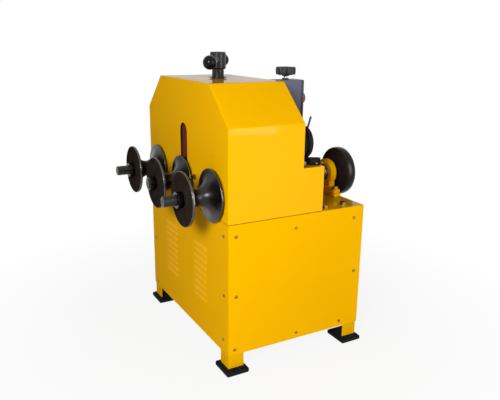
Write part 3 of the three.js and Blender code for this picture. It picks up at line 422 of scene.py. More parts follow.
def add_lathe(bm, profile, matrix, steps=72, rounds=3, fillet=0.0, look=0):
    """Turns a profile of (radius, along, own fillet): closed, or starting and ending on the axis."""
    profile = filleted(profile, fillet, rounds, profile[0][0] > 0)
    turned = bm.verts.layers.float.get("turned") or bm.verts.layers.float.new("turned")
    rings = []
    length = 0.0
    previous = profile[0]
    for radius, height in profile:
        length += math.hypot(radius - previous[0], height - previous[1])
        previous = (radius, height)
        ring = []
        for i in range(1 if radius < 1e-7 else steps):
            angle = 2 * math.pi * i / steps
            point = Vector((radius * math.cos(angle), radius * math.sin(angle), height))
            vertex = bm.verts.new(matrix @ point)
            vertex[turned] = length
            ring.append(vertex)
        rings.append(ring)
    pairs = list(zip(rings, rings[1:]))
    if profile[0][0] > 0:
        pairs.append((rings[-1], rings[0]))
    faces = []
    for a, b in pairs:
        if len(a) == 1 and len(b) == 1:
            continue
        for i in range(steps):
            j = (i + 1) % steps
            corners = [a[i % len(a)], a[j % len(a)], b[j % len(b)], b[i % len(b)]]
            face = bm.faces.new(list(dict.fromkeys(corners)))
            face.material_index = look
            faces.append(face)
    return faces


def add_plate(bm, outline, matrix, thickness, holes=()):
    """A flat outline in local X and Y, given a thickness along local Z."""
    loops = [list(outline)] + [list(hole) for hole in holes]
    flat = [Vector((x, y, 0)) for loop in loops for x, y in loop]
    lift = Vector((0, 0, thickness))
    lower = [bm.verts.new(matrix @ point) for point in flat]
    upper = [bm.verts.new(matrix @ (point + lift)) for point in flat]
    faces = []
    if holes:
        for triangle in tessellate_polygon([[Vector((x, y, 0)) for x, y in loop] for loop in loops]):
            faces.append(bm.faces.new([lower[i] for i in reversed(triangle)]))
            faces.append(bm.faces.new([upper[i] for i in triangle]))
    else:
        faces.append(bm.faces.new(list(reversed(lower))))
        faces.append(bm.faces.new(upper))
    start = 0
    for loop in loops:
        count = len(loop)
        for i in range(count):
            j = (i + 1) % count
            wall = (lower[start + i], lower[start + j], upper[start + j], upper[start + i])
            faces.append(bm.faces.new(wall))
        start += count
    return faces


def add_slab(bm, outline, bottom, top, holes=()):
    """A flat outline in X and Y, given a height."""
    return add_plate(bm, outline, upward(0, 0, bottom), top - bottom, holes)


def add_sheet(bm, outline, front, thickness, holes=()):
    """An upright outline in X and Z, given a thickness toward the rear."""
    outline, *holes = [[(x, -z) for x, z in loop] for loop in (outline, *holes)]
    return add_plate(bm, outline, along((0, front, 0), (0, 1, 0), (1, 0, 0)), thickness, holes)


def add_box(bm, corner, opposite):
    x0, y0, z0 = corner
    x1, y1, z1 = opposite
    return add_slab(bm, rectangle(x0, x1, y0, y1), z0, z1)


def round_edges(bm, width, segments=3, angle=30, faces=None):
    """Turns the faces outward and rounds every edge that bends more than an angle."""
    bmesh.ops.recalc_face_normals(bm, faces=bm.faces)
    chosen = set(faces) if faces else None
    limit = math.radians(angle)
    edges = []
    for edge in bm.edges:
        if not edge.is_manifold or edge.calc_face_angle(0) < limit:
            continue
        if chosen and not all(face in chosen for face in edge.link_faces):
            continue
        edges.append(edge)
    bmesh.ops.bevel(
        bm, geom=edges, offset=width, offset_type="OFFSET", segments=segments,
        profile=0.5, affect="EDGES", clamp_overlap=True,
    )


def give_look(faces, x, radius, look, start=-math.inf, end=math.inf):
    """Gives a look to the faces farther than a radius from a shaft's axis, between two depths."""
    for face in faces:
        middle = face.calc_center_median()
        if math.hypot(middle.x - x, middle.z - AXIS) > radius and start < middle.y < end:
            face.material_index = look


def circle(radius, steps=48, x=0.0, y=0.0):
    angles = [2 * math.pi * i / steps for i in range(steps)]
    return [(x + radius * math.cos(angle), y + radius * math.sin(angle)) for angle in angles]


def hexagon(across):
    return circle(across / math.sqrt(3), 6)


def rectangle(x0, x1, y0, y1):
    return [(x0, y0), (x1, y0), (x1, y1), (x0, y1)]


def stadium(length, width, x=0.0, y=0.0, upright=False, steps=8):
    """A slot outline with round ends."""
    half = (length - width) / 2
    points = []
    for end in (1, -1):
        for i in range(steps + 1):
            angle = math.pi * (i / steps - 0.5) + (0 if end > 0 else math.pi)
            points.append((end * half + width / 2 * math.cos(angle), width / 2 * math.sin(angle)))
    if upright:
        points = [(-v, u) for u, v in points]
    return [(x + u, y + v) for u, v in points]


def add_thread(bm, radius, depth, pitch, start, end, matrix, form):
    """A helical thread skin between two places on an axis, its form a row of heights over one pitch."""
    steps = 48
    per_turn = len(form)
    rows = int((end - start) / pitch * per_turn) + 2 * per_turn
    columns = []
    for i in range(steps):
        angle = 2 * math.pi * i / steps
        column = []
        for k in range(rows + per_turn + 1):
            height = start - pitch + pitch * (k / per_turn + i / steps)
            crest = form[k % per_turn] if start < height < end else 0
            height = clamp(height, start, end)
            reach = radius - depth * (1 - crest)
            point = Vector((reach * math.cos(angle), reach * math.sin(angle), height))
            column.append(bm.verts.new(matrix @ point))
        columns.append(column)
    for i in range(steps):
        beside, shift = (columns[i + 1], 0) if i + 1 < steps else (columns[0], per_turn)
        for k in range(rows):
            bm.faces.new((columns[i][k], beside[k + shift], beside[k + shift + 1], columns[i][k + 1]))


def made_mesh(bm, name="part"):
    """Turns bm into a mesh."""
    mesh = bpy.data.meshes.new(name)
    bm.to_mesh(mesh)
    bm.free()
    return mesh


def take_in(bm, mesh):
    """Moves a mesh into bm."""
    bm.from_mesh(mesh)
    bpy.data.meshes.remove(mesh)
    return bm


def settled(obj, replaces="", body="frame"):
    """Lets an object ride on a body and take the place of CAD nodes."""
    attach(obj, body)
    if replaces:
        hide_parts(*replaces.split())
    return obj


def dressed(name, mesh, looks, replaces="", body="frame", smooth=32, weighted=True):
    """An object of a mesh, with one look for each material index of its faces."""
    mesh.name = name
    mesh.polygons.foreach_set("use_smooth", [True] * len(mesh.polygons))
    mesh.set_sharp_from_angle(angle=math.radians(smooth))
    looks = looks.split()
    indices = [min(polygon.material_index, len(looks) - 1) for polygon in mesh.polygons]
    mesh.materials.clear()
    for look in looks:
        mesh.materials.append(LOOKS[look])
    mesh.polygons.foreach_set("material_index", indices)
    obj = add_object(name, mesh)
    if weighted:
        obj.modifiers.new("even shading", "WEIGHTED_NORMAL").keep_sharp = True
    return settled(obj, replaces, body)


def piece(name, bm, looks, replaces="", body="frame", smooth=32, weighted=True):
    """An object of bm, its faces turned outward."""
    bmesh.ops.dissolve_degenerate(bm, dist=1e-6, edges=bm.edges)
    bmesh.ops.recalc_face_normals(bm, faces=bm.faces)
    return dressed(name, made_mesh(bm, name), looks, replaces, body, smooth, weighted)


def scratch(bm):
    """A helper object of bm, its faces turned outward."""
    bmesh.ops.recalc_face_normals(bm, faces=bm.faces)
    return add_object("scratch", made_mesh(bm, "scratch"))


def worked_out(obj, *helpers):
    """The mesh of an object with its modifiers, in place of the object and its helpers."""
    graph = bpy.context.evaluated_depsgraph_get()
    mesh = bpy.data.meshes.new_from_object(obj.evaluated_get(graph))
    for used in (obj, *helpers):
        bpy.data.objects.remove(used)
    return mesh


def carved(body, tools):
    """The mesh of a body with tools cut out of it; both are bmesh."""
    target = scratch(body)
    cutters = [scratch(tool) for tool in tools]
    for cutter in cutters:
        modifier = target.modifiers.new("cut", "BOOLEAN")
        modifier.operation = "DIFFERENCE"
        modifier.solver = "EXACT"
        modifier.object = cutter
    return worked_out(target, *cutters)


def through_cut(outline, face, depth=0.0):
    """A tool that cuts an upright outline through a wall behind a face."""
    tool = bmesh.new()
    add_sheet(tool, outline, face - OVERRUN, depth + 2 * OVERRUN)
    return tool


def line_object(name, points, thickness):
    """A round rod or cable along points, as one open spline."""
    curve = bpy.data.curves.new(name, "CURVE")
    curve.dimensions = "3D"
    curve.bevel_depth = thickness / 2
    curve.bevel_resolution = 5
    curve.use_fill_caps = True
    spline = curve.splines.new("POLY")
    spline.points.add(len(points) - 1)
    for target, point in zip(spline.points, points):
        target.co = (*point, 1)
    spline.use_smooth = True
    return add_object(name, curve)


# Fasteners, made once and copied
WASHER = 0.0012


def cross_screw_mesh(radius):
    """A pan head with a cross recess, its seat at 0 and its head along Z."""
    height = radius * 0.62
    profile = [(0, -0.0005), (radius, -0.0005)]
    for i in range(7):
        angle = math.radians(90 * i / 7)
        profile.append((radius * math.cos(angle), height * (0.35 + 0.65 * math.sin(angle))))
    body = bmesh.new()
    add_lathe(body, [*profile, (0, height)], Matrix(), 24)
    arm = radius * 0.62
    tools = []
    for x, y in ((arm, arm * 0.24), (arm * 0.24, arm)):
        tool = bmesh.new()
        add_box(tool, (-x, -y, height * 0.45), (x, y, height * 2))
        tools.append(tool)
    return carved(body, tools)


def hex_bolt_mesh(across, height, washer):
    """A hexagon head on a washer."""
    bm = bmesh.new()
    ring = [(across * 0.3, 0), (washer, 0), (washer, WASHER), (across * 0.3, WASHER)]
    add_lathe(bm, ring, Matrix(), 32, 2, 0.0003)
    add_slab(bm, hexagon(across), WASHER, WASHER + height)
    return made_mesh(bm)


PANEL_SCREW = cross_screw_mesh(0.0050)
SMALL_SCREW = cross_screw_mesh(0.0034)
HEX_M12 = hex_bolt_mesh(0.019, 0.0075, 0.0115)
HEX_M8 = hex_bolt_mesh(0.013, 0.0055, 0.008)


def fasteners(name, mesh, spots, look="yellow_zinc"):
    """Copies of a fastener at (place, outward direction, turn) in one piece."""
    bm = bmesh.new()
    for spot, direction, turn in spots:
        before = len(bm.verts)
        bm.from_mesh(mesh)
        bm.verts.ensure_lookup_table()
        matrix = along(spot, direction) @ Matrix.Rotation(math.radians(turn), 4, "Z")
        bmesh.ops.transform(bm, matrix=matrix, verts=bm.verts[before:])
    piece(name, bm, look)


# Cable: out of the gland, down to the step, round the coil and into the plug
FREE_ROUTE = [
    (0.102, 0.276, 0.6273), (0.110, 0.2757, 0.6262), (0.118, 0.2749, 0.6232), (0.126, 0.2733, 0.6186),
    (0.134, 0.2711, 0.6131), (0.142, 0.2687, 0.6074), (0.150, 0.2661, 0.6022), (0.158, 0.2636, 0.598),
    (0.166, 0.2614, 0.5951), (0.174, 0.2594, 0.5934), (0.182, 0.2578, 0.5929), (0.190, 0.2565, 0.5934),
    (0.198, 0.2558, 0.5952), (0.205, 0.2556, 0.5971), (0.211, 0.2556, 0.5984), (0.214, 0.2556, 0.5986),
]
CABLE_EXIT = place(0.0946, 0.276, 0.6273)


def coil_point(turn):
    layer_turns = COIL_TURNS / COIL_LAYERS
    inward = abs((turn / layer_turns + 1) % 2 - 1)
    radius = COIL_RADIUS - COIL_PITCH * layer_turns * inward
    layer = 0
    for reversal in range(1, COIL_LAYERS):
        past = (turn - reversal * layer_turns) / COIL_REVERSAL + 0.5
        layer += (1 - math.cos(math.pi * clamp(past, 0, 1))) / 2
    angle = 2 * math.pi * turn - math.pi / 2
    return place(
        COIL_X + radius * math.cos(angle), COIL_Y + COIL_PITCH * layer, COIL_Z + radius * math.sin(angle),
    )


def smooth_line(points, steps):
    """Points on a curve through the given ones."""
    result = []
    for i in range(len(points) - 1):
        a = points[max(i - 1, 0)]
        b, c = points[i], points[i + 1]
        d = points[min(i + 2, len(points) - 1)]
        square = a * 2 - b * 5 + c * 4 - d
        cube = b * 3 - a - c * 3 + d
        for k in range(steps):
            t = k / steps
            result.append((b * 2 + (c - a) * t + square * t ** 2 + cube * t ** 3) / 2)
    result.append(points[-1])
    return result


def cable_path():
    coil_steps = 48
    coil = [coil_point(i / coil_steps) for i in range(COIL_TURNS * coil_steps + 1)]
    lead = Vector((COIL_LEAD, 0, 0))
    free = [CABLE_EXIT, *[place(*point) for point in FREE_ROUTE], coil[0] - lead]
    return smooth_line(free, 3) + coil + [coil[-1] + lead]


def ribs(count, start, pitch, radius, growth, depth, lengths):
    """A profile of ribs; the lengths run from a rib's start to the end of its crest, slope and root."""
    crest, slope, root = lengths
    profile = []
    for i in range(count):
        base = start + i * pitch
        size = radius + i * growth
        valley = size - depth
        profile += [(size, base), (size, base + crest), (valley, base + slope), (valley, base + root)]
    return profile


def make_plug(start):
    """The moulded plug with its strain relief, grips and two pins."""
    first, last = ends("mains_plug")
    back = start.x + 0.0123
    face = back + 0.026
    relief = [(0, 0), (CABLE / 2 + 0.0004, 0)]
    relief += ribs(4, 0.001, 0.0027, 0.0048, 0.0004, 0.0011, (0.0014, 0.0017, 0.0025))
    relief += [(0.006, 0.0120), (0.006, 0.0135), (0, 0.0135)]
    bm = bmesh.new()
    add_lathe(bm, relief, along(start, (1, 0, 0)), 32)
    outline = [
        (back, start.y - 0.0068), (back + 0.011, first.y), (face, first.y),
        (face, last.y), (back + 0.013, last.y), (back, start.y + 0.0075),
    ]
    add_slab(bm, filleted(outline, 0.004, 5), first.z, last.z)
    for grip in range(4):
        x = back + 0.012 + grip * 0.0034
        add_box(bm, (x, first.y + 0.006, last.z - 0.0008), (x + 0.0014, last.y - 0.006, last.z + 0.0004))
    pin = [(0, 0), (0.0024, 0), (0.0024, 0.0145), (0.0019, 0.0182), (0.0010, 0.019), (0, 0.019)]
    for side in (-1, 1):
        spot = (face - 0.0002, centre("mains_plug").y + side * 0.0095, start.z)
        add_lathe(bm, pin, along(spot, (1, 0, 0)), 20, look=1)
    return piece("moulded_plug", bm, "rubber bronze", "mains_plug")


def make_cable():
    path = cable_path()
    cable = line_object("mains_cable", path, CABLE)
    cable.data.materials.append(LOOKS["cable"])
    settled(cable, "power_cable power_cable_coil")
    plug = make_plug(path[-1])


make_cable()


# Hood: one folded shell with its step
def hood_surface():
    """The hood's outer surface, open below, with its bends rounded."""
    top = HOOD_TOP - BED
    deep = STEP_BACK - FRONT
    corners = {
        "foot": (HALF, 0, SEAM),
        "shoulder": (HALF, 0, HOOD_SHOULDER),
        "top": (HOOD_TOP_HALF, 0, top),
        "shoulder_rear": (HALF, HOOD_DEPTH, HOOD_SHOULDER),
        "top_rear": (HOOD_TOP_HALF, HOOD_DEPTH, top),
        "inner": (HALF, HOOD_DEPTH, STEP_HEIGHT),
        "step": (HALF, deep, STEP_HEIGHT),
        "step_foot": (HALF, deep, SEAM),
    }
    bm = bmesh.new()
    right = {key: bm.verts.new(above(x, y, z)) for key, (x, y, z) in corners.items()}
    left = {key: bm.verts.new(above(-x, y, z)) for key, (x, y, z) in corners.items()}
    flanks = ("foot step_foot step inner shoulder_rear shoulder", "shoulder shoulder_rear top_rear top")
    for keys in flanks:
        bm.faces.new([right[key] for key in keys.split()])
        bm.faces.new([left[key] for key in reversed(keys.split())])
    walls = (
        "foot shoulder top", "inner shoulder_rear top_rear", "top top_rear", "inner step", "step step_foot",
    )
    for keys in walls:
        across = [right[key] for key in keys.split()]
        across += [left[key] for key in reversed(keys.split())]
        bm.faces.new(across)
    round_edges(bm, BEND, 4, 20)
    return bm


def hood_cuts():
    """Tools for the carriage slot, the shaft holes and the screw's hole."""
    slot = [(-SLOT_HALF, AXIS - SLOT_HALF), (SLOT_HALF, AXIS - SLOT_HALF)]
    for i in range(25):
        angle = math.pi * i / 24
        slot.append((SLOT_HALF * math.cos(angle), BED + SLOT_TOP - SLOT_HALF + SLOT_HALF * math.sin(angle)))
    tools = [through_cut(slot, FRONT)]
    for x, face in ((-ROLLER_X, FRONT), (ROLLER_X, FRONT), (DRIVE_X, STEP_BACK)):
        tools.append(through_cut(circle(SHAFT_HOLE, 48, x, AXIS), face))
    top_hole = bmesh.new()
    add_slab(top_hole, circle(SCREW_RADIUS + 0.002, 48, 0, SCREW_Y), HOOD_TOP - 0.02, HOOD_TOP + 0.02)
    return [*tools, top_hole]


def make_hood():
    shell = scratch(hood_surface())
    inside = above(0, 0.12, 0.15)
    if sum(face.normal.dot(face.center - inside) for face in shell.data.polygons) < 0:
        shell.data.flip_normals()
    sheet = shell.modifiers.new("sheet", "SOLIDIFY")
    sheet.thickness = SHEET
    sheet.offset = -1
    sheet.use_even_offset = True
    mesh = carved(take_in(bmesh.new(), worked_out(shell)), hood_cuts())
    for face in mesh.polygons:
        face.material_index = 0
        # Upward faces of the hood and its step take the top look: yellow darkened as painted shade
        if face.normal.z > 0.9 and face.center.z > BED + STEP_HEIGHT - 0.001:
            face.material_index = 1
        elif abs(face.normal.x) > 0.97:
            face.material_index = 2
    dressed("hood_shell", mesh, "yellow top flank", "hood", smooth=25)


def make_screw_collar():
    bore = SCREW_RADIUS + 0.0004
    neck = SCREW_RADIUS + 0.0017
    flange = 0.027
    profile = [
        (bore, -0.004), (neck, -0.004), (neck, 0.0024), (flange, 0.0024), (flange, 0.0046), (bore, 0.0046),
    ]
    bm = bmesh.new()
    add_lathe(bm, profile, upward(0, SCREW_Y, HOOD_TOP), 64, 3, 0.0006)
    piece("screw_collar", bm, "oxide")


make_hood()
make_screw_collar()


# Cabinet panels
def add_louvre(bm, x, z):
    """A pressed-out louvre: closed above and at its ends, open below."""
    columns, rows = 30, 6
    grid = []
    for i in range(columns + 1):
        offset = (i / columns - 0.5) * LOUVRE_LENGTH
        past = clamp((abs(offset) - (LOUVRE_LENGTH / 2 - LOUVRE_END)) / LOUVRE_END, 0, 1)
        swell = math.sqrt(1 - past ** 2)
        line = []
        for j in range(rows + 1):
            down = j / rows
            proud = LOUVRE_PROUD * swell * math.sin(down * math.pi / 2) - 0.0004
            drop = LOUVRE_HEIGHT * down - (1 - swell) * LOUVRE_HEIGHT * 0.35 * (down - 0.5)
            line.append(bm.verts.new((x + offset, FRONT - proud, z + LOUVRE_HEIGHT / 2 - drop)))
        grid.append(line)
    for here, beside in zip(grid, grid[1:]):
        for j in range(rows):
            bm.faces.new((here[j], here[j + 1], beside[j + 1], beside[j]))


def make_front_panel():
    rows = [BED - LOUVRE_DROP - row * LOUVRE_PITCH for row in range(LOUVRE_ROWS)]
    spots = [(x, z) for x in (-LOUVRE_COLUMN, LOUVRE_COLUMN) for z in rows]
    holes = [stadium(LOUVRE_LENGTH - 0.008, 0.006, x, z - 0.001, steps=4) for x, z in spots]
    bm = bmesh.new()
    sheet = add_sheet(bm, rectangle(-HALF, HALF, PANEL_FOOT, BED), FRONT, SHEET, holes)
    round_edges(bm, 0.0008, 2, 60, sheet)
    skin = bmesh.new()
    for x, z in spots:
        add_louvre(skin, x, z)
    skin.normal_update()
    bmesh.ops.solidify(skin, geom=skin.faces[:], thickness=0.001)
    for face in skin.faces:
        face.material_index = 1
    take_in(bm, made_mesh(skin))
    piece("louvred_front_panel", bm, "yellow pressed", "front_panel", smooth=40)


def make_side_panels():
    for name in ("left_panel", "right_panel"):
        bm = bmesh.new()
        add_box(bm, *ends(name))
        piece(f"{name}_sheet", bm, "yellow", name)


def make_rear_panel():
    holes = [stadium(0.12, 0.006, 0, BED - 0.110 - row * 0.018, steps=6) for row in range(8)]
    bm = bmesh.new()
    sheet = add_sheet(bm, rectangle(-HALF, HALF, PANEL_FOOT, BED), BACK - SHEET, SHEET, holes)
    round_edges(bm, 0.0007, 2, 60, sheet)
    piece("slotted_rear_panel", bm, "yellow", "rear_panel", smooth=40)


def make_panel_screws():
    side_spots = [
        (0.024, -0.034), (0.219, -0.037), (0.025, -0.212), (0.021, -0.376),
        (0.232, -0.374), (0.394, -0.374), (0.430, -0.036), (0.441, -0.212),
    ]
    front_spots = [
        (0.273, -0.037), (0.276, -0.212), (-0.265, -0.380),
        (-0.278, -0.211), (-0.273, -0.037), (0.271, -0.352),
    ]
    rear_spots = [(x, z) for x in (-0.275, 0.275) for z in (-0.036, -0.212, -0.376)]
    spots = []
    for y, z in side_spots:
        spots.append((above(HALF, y, z), (1, 0, 0), 20 + 900 * z))
        spots.append((above(-HALF, y, z), (-1, 0, 0), 40 + 700 * z))
    spots += [(above(x, 0, z), (0, -1, 0), 10 + 800 * z) for x, z in front_spots]
    spots += [(above(x, BACK - FRONT, z), (0, 1, 0), 30 + 600 * z) for x, z in rear_spots]
    fasteners("panel_screws", PANEL_SCREW, spots)


make_front_panel()
make_side_panels()
make_rear_panel()
make_panel_screws()


# Frame of angle steel with its rails
def leg_mesh(side_x, side_y):
    """A leg at a corner of the frame; the front ones have a slot."""
    corner = [
        (0, 0, 0.0012), (LEG_WIDTH, 0, 0.0008), (LEG_WIDTH, LEG_WALL, 0.003),
        (LEG_WALL, LEG_WALL, 0.005), (LEG_WALL, LEG_WIDTH, 0.003), (0, LEG_WIDTH, 0.0008),
    ]
    outer_x = side_x * FRAME_HALF
    outer_y = FRAME_FRONT if side_y < 0 else FRAME_BACK
    bm = bmesh.new()
    outline = [(outer_x - side_x * x, outer_y - side_y * y) for x, y in filleted(corner, 0)]
    add_slab(bm, outline, LEG_FOOT, LEG_TOP)
    slot = stadium(0.020, 0.011, outer_x - side_x * LEG_WIDTH / 2, LEG_FOOT + 0.0385, True)
    return carved(bm, [through_cut(slot, FRONT, 0.01)] if side_y < 0 else [])


def add_rails(bm):
    inner = FRAME_HALF - LEG_WALL
    skin = 0.0005
    sides = [
        (-inner, inner, FRAME_FRONT + skin, FRAME_FRONT + LEG_WALL),
        (-inner, inner, FRAME_BACK - LEG_WALL, FRAME_BACK - skin),
        (-FRAME_HALF + skin, -inner, FRAME_FRONT + LEG_WALL, FRAME_BACK - LEG_WALL),
        (inner, FRAME_HALF - skin, FRAME_FRONT + LEG_WALL, FRAME_BACK - LEG_WALL),
    ]
    for side in sides:
        add_slab(bm, rectangle(*side), LEG_TOP - RAIL_HEIGHT, LEG_TOP - 0.0002)
        add_slab(bm, rectangle(*side), *LOWER_RAIL)
    for y in (FRONT + 0.070, FRONT + 0.325):
        add_slab(bm, rectangle(-inner, inner, y, y + LEG_WALL), *LOWER_RAIL)


def make_frame():
    bm = bmesh.new()
    for side_x in (-1, 1):
        for side_y, y in ((-1, FRAME_FRONT + LEG_WIDTH / 2), (1, FRAME_BACK - LEG_WIDTH / 2)):
            take_in(bm, leg_mesh(side_x, side_y))
            x = side_x * (FRAME_HALF - LEG_WIDTH / 2)
            foot_plate = rectangle(x - 0.032, x + 0.032, y - 0.029, y + 0.029)
            # The foot plates take the black rubber look of the pads, so the frame is dark at its feet
            for face in add_slab(bm, foot_plate, LEG_FOOT - 0.0001, LEG_FOOT + 0.0045):
                face.material_index = 1
    add_rails(bm)
    piece("angle_steel_frame", bm, "frame_yellow rubber", "base_frame")


def make_foot(name):
    """A rubber pad with two ribs and a tab on its outer side."""
    first, last = ends(name)
    middle = centre(name)
    bm = bmesh.new()
    outline = filleted(rectangle(first.x, last.x, first.y, last.y), 0.006, 5)
    pad = add_slab(bm, outline, first.z, last.z - 0.0002)
    round_edges(bm, 0.0025, 3, 40, pad)
    for side in (-1, 1):
        y = middle.y + side * (last.y - first.y) * 0.31
        rib = rectangle(first.x + 0.004, last.x - 0.004, y - 0.0015, y + 0.0015)
        add_slab(bm, rib, last.z - 0.001, last.z + 0.0006)
    tab = [(0, 0), (0.016, 0), (0.022, 0.012), (0.020, 0.0135), (0.0135, 0.0035), (0, 0.0035)]
    outward = 1 if middle.x > 0 else -1
    root = (last.x if outward > 0 else first.x) - outward * 0.022
    add_sheet(bm, [(root + outward * x, last.z - 0.004 + z) for x, z in tab], middle.y - 0.010, 0.020)
    piece(f"{name}_pad", bm, "rubber", name)


make_frame()
for foot in ("foot_front_left", "foot_front_right", "foot_rear_left", "foot_rear_right"):
    make_foot(foot)


# Bed plate with its bolts
def make_bed():
    first, last = ends("bed_plate")
    chain = ends("drive_chain")
    sprocket = centre("drive_sprocket")
    half_x = (chain[1].x - chain[0].x) / 2 + 0.006
    half_y = 0.016
    hole = rectangle(sprocket.x - half_x, sprocket.x + half_x, sprocket.y - half_y, sprocket.y + half_y)
    bm = bmesh.new()
    add_slab(bm, rectangle(first.x, last.x, first.y, last.y), first.z, last.z, [filleted(hole, 0.004)])
    round_edges(bm, 0.001, 2, 60)
    # The bed's top takes the top look: yellow darkened as painted shade
    piece("bed_sheet", bm, "top", "bed_plate", smooth=40)


def make_bolts():
    bed_bolts = [(0.269, 0.340), (0.266, 0.412), (-0.269, 0.340), (-0.266, 0.412)]
    fasteners("bed_bolts", HEX_M12, [(above(x, y, 0), (0, 0, 1), 300 * x) for x, y in bed_bolts])
    hood_bolts = [(0.086, 0.092), (0.111, 0.063)]
    fasteners("hood_bolts", HEX_M8, [(above(x, 0, z), (0, -1, 0), 900 * z) for x, z in hood_bolts])


make_bed()
make_bolts()


# Rollers, their shafts and nuts
def groove_profile(bore):
    """Closed profile of a grooved roller from its front face at 0."""
    steps = 44
    radius, length = ROLLER_RADIUS, ROLLER_LENGTH
    groove = []
    for i in range(steps + 1):
        angle = math.pi * i / steps
        depth = (radius - THROAT_RADIUS) * math.sin(angle)
        groove.append((radius - depth, length / 2 - (length / 2 - RIM) * math.cos(angle)))
    front = filleted([(bore, 0), (radius, 0, 0.0022), (radius, RIM)], 0, 4, False)[:-2]
    corner_front = filleted([(radius, 0.0025), groove[0], groove[3]], 0.0012, 4, False)[1:-1]
    corner_back = filleted([groove[-4], groove[-1], (radius, length - 0.0025)], 0.0012, 4, False)[1:-1]
    back = filleted([(radius, length - RIM), (radius, length, 0.0022), (bore, length)], 0, 4, False)[1:]
    return [*front, (radius, 0.003), *corner_front, *groove[3:-3], *corner_back, *back]


def make_roller(name, x):
    front = low(f"{name}_roller").y
    bore = SHAFT_RADIUS + GAP
    bm = bmesh.new()
    faces = add_lathe(bm, groove_profile(bore), to_rear(x, front), 128)
    give_look(faces, x, bore * 1.1, 1, front + RIM, front + ROLLER_LENGTH - RIM)
    give_look(faces, x, ROLLER_RADIUS - 0.0012, 2)
    looks = "black_steel groove rim"
    piece(
        f"{name}_bending_roller", bm, looks, f"{name}_roller", f"{name}_spindle", 30, False,
    )


def make_roller_shaft(name, x):
    """A shaft with a centre hole in its end and a shoulder between its roller and what carries it."""
    first, last = ends(f"{name}_shaft")
    length = last.y - first.y
    seat, shoulder = SHAFT_RADIUS, SHOULDER_RADIUS
    carrier = low("press_carriage" if name == "middle" else "head_front_plate").y
    start = high(f"{name}_roller").y + GAP - first.y
    end = carrier - GAP - first.y
    profile = [
        (0, 0.005), (0.0016, 0.0035), (0.0040, 0, 0.0003), (seat - 0.0018, 0, 0.0006),
        (seat, 0.0018, 0.0006), (seat, start), (shoulder, start, 0.001), (shoulder, end, 0.001),
        (seat, end), (seat, length, 0.001), (0, length),
    ]
    bm = bmesh.new()
    matrix = to_rear(x, first.y)
    add_lathe(bm, profile, matrix)
    if name != "middle":
        add_thread(bm, seat + 0.0001, 0.0009, 0.0025, 0.003, 0.034, matrix, (0, 1))
    piece(f"{name}_spindle_shaft", bm, "stub", f"{name}_shaft", f"{name}_spindle", 30, False)


def make_lock_nut(name, x, radius, length):
    bm = bmesh.new()
    matrix = to_rear(x, low(f"{name}_roller_nut").y)
    add_plate(bm, circle(radius, 72), matrix, length, [circle(SHAFT_RADIUS + GAP)])
    round_edges(bm, 0.0012, 3, 60)
    piece(f"{name}_lock_nut", bm, "stub", f"{name}_roller_nut", f"{name}_spindle", 40)


for side, side_x, nut_radius, nut_length in (
    ("left", -ROLLER_X, 0.023, 0.017), ("right", ROLLER_X, 0.023, 0.017), ("middle", 0.0, 0.020, 0.021),
):
    make_roller(side, side_x)
    make_roller_shaft(side, side_x)
    make_lock_nut(side, side_x, nut_radius, nut_length)


# Press screw, its head, sliding bar and ball knobs
def make_press_screw():
    first, last = ends("press_screw")
    length = last.z - first.z
    foot = 0.011
    neck = length - 0.052
    root = SCREW_RADIUS - 0.0022
    profile = [
        (0, 0), (0.023, 0, 0.001), (0.023, foot, 0.001), (root, foot, 0.001),
        (root, neck, 0.0006), (SCREW_RADIUS, neck + 0.003, 0.0006), (SCREW_RADIUS, length), (0, length),
    ]
    bm = bmesh.new()
    matrix = upward(0, SCREW_Y, first.z)
    add_lathe(bm, profile, matrix, 64)
    add_thread(bm, SCREW_RADIUS, 0.0026, THREAD_PITCH, foot + 0.012, neck, matrix, (0, 0, 1, 1))
    piece("threaded_press_screw", bm, "oxide", "press_screw", "screw", 30, False)


def bar_direction():
    across = centre("ball_knob_near") - centre("ball_knob_far")
    return Vector((across.x, across.y, 0)).normalized()


def make_screw_head():
    first, last = ends("screw_head")
    height = last.z - first.z
    radius = (last.x - first.x) / 2
    profile = [
        (0, 0), (0.0205, 0, 0.001), (radius, 0.0032, 0.0015), (radius, height - 0.0025, 0.0012),
        (radius - 0.0030, height, 0.0012), (0.010, height), (0.0085, height - 0.0018), (0, height - 0.0018),
    ]
    body = bmesh.new()
    add_lathe(body, profile, upward(0, SCREW_Y, first.z), 96, 4)
    direction = bar_direction()
    middle = Vector((0, SCREW_Y, centre("tommy_bar").z))
    bore = BAR_RADIUS + GAP
    cross = bmesh.new()
    add_plate(cross, circle(bore), along(middle - direction * 0.04, direction), 0.08)
    socket = bmesh.new()
    add_slab(socket, circle(SCREW_RADIUS + GAP, 48, 0, SCREW_Y), first.z - OVERRUN, first.z + 0.0133)
    bm = take_in(bmesh.new(), carved(body, [cross, socket]))
    ring = [(bore, 0), (0.0092, 0), (0.0092, 0.0009), (bore, 0.0009)]
    for side in (-1, 1):
        matrix = along(middle + direction * side * (radius - 0.0016), direction * side)
        add_lathe(bm, ring, matrix, 48, 2, 0.0003)
    piece("capstan_head", bm, "oxide", "screw_head", "screw", 30)


def make_ball(name, spot, direction):
    """A ball knob, open on the side that faces the bar."""
    start = math.asin(0.0095 / BALL_RADIUS)
    mouth = -BALL_RADIUS * math.cos(start)
    bore = BAR_RADIUS + GAP
    profile = [(0, mouth + 0.004), (bore, mouth + 0.004), (bore, mouth)]
    for i in range(28):
        angle = start + (math.pi - start) * i / 28
        profile.append((BALL_RADIUS * math.sin(angle), -BALL_RADIUS * math.cos(angle)))
    bm = bmesh.new()
    add_lathe(bm, [*profile, (0, BALL_RADIUS)], along(spot, direction), 64)
    piece(f"ball_{name}", bm, "ball", f"ball_knob_{name}", "tommy", 40, False)


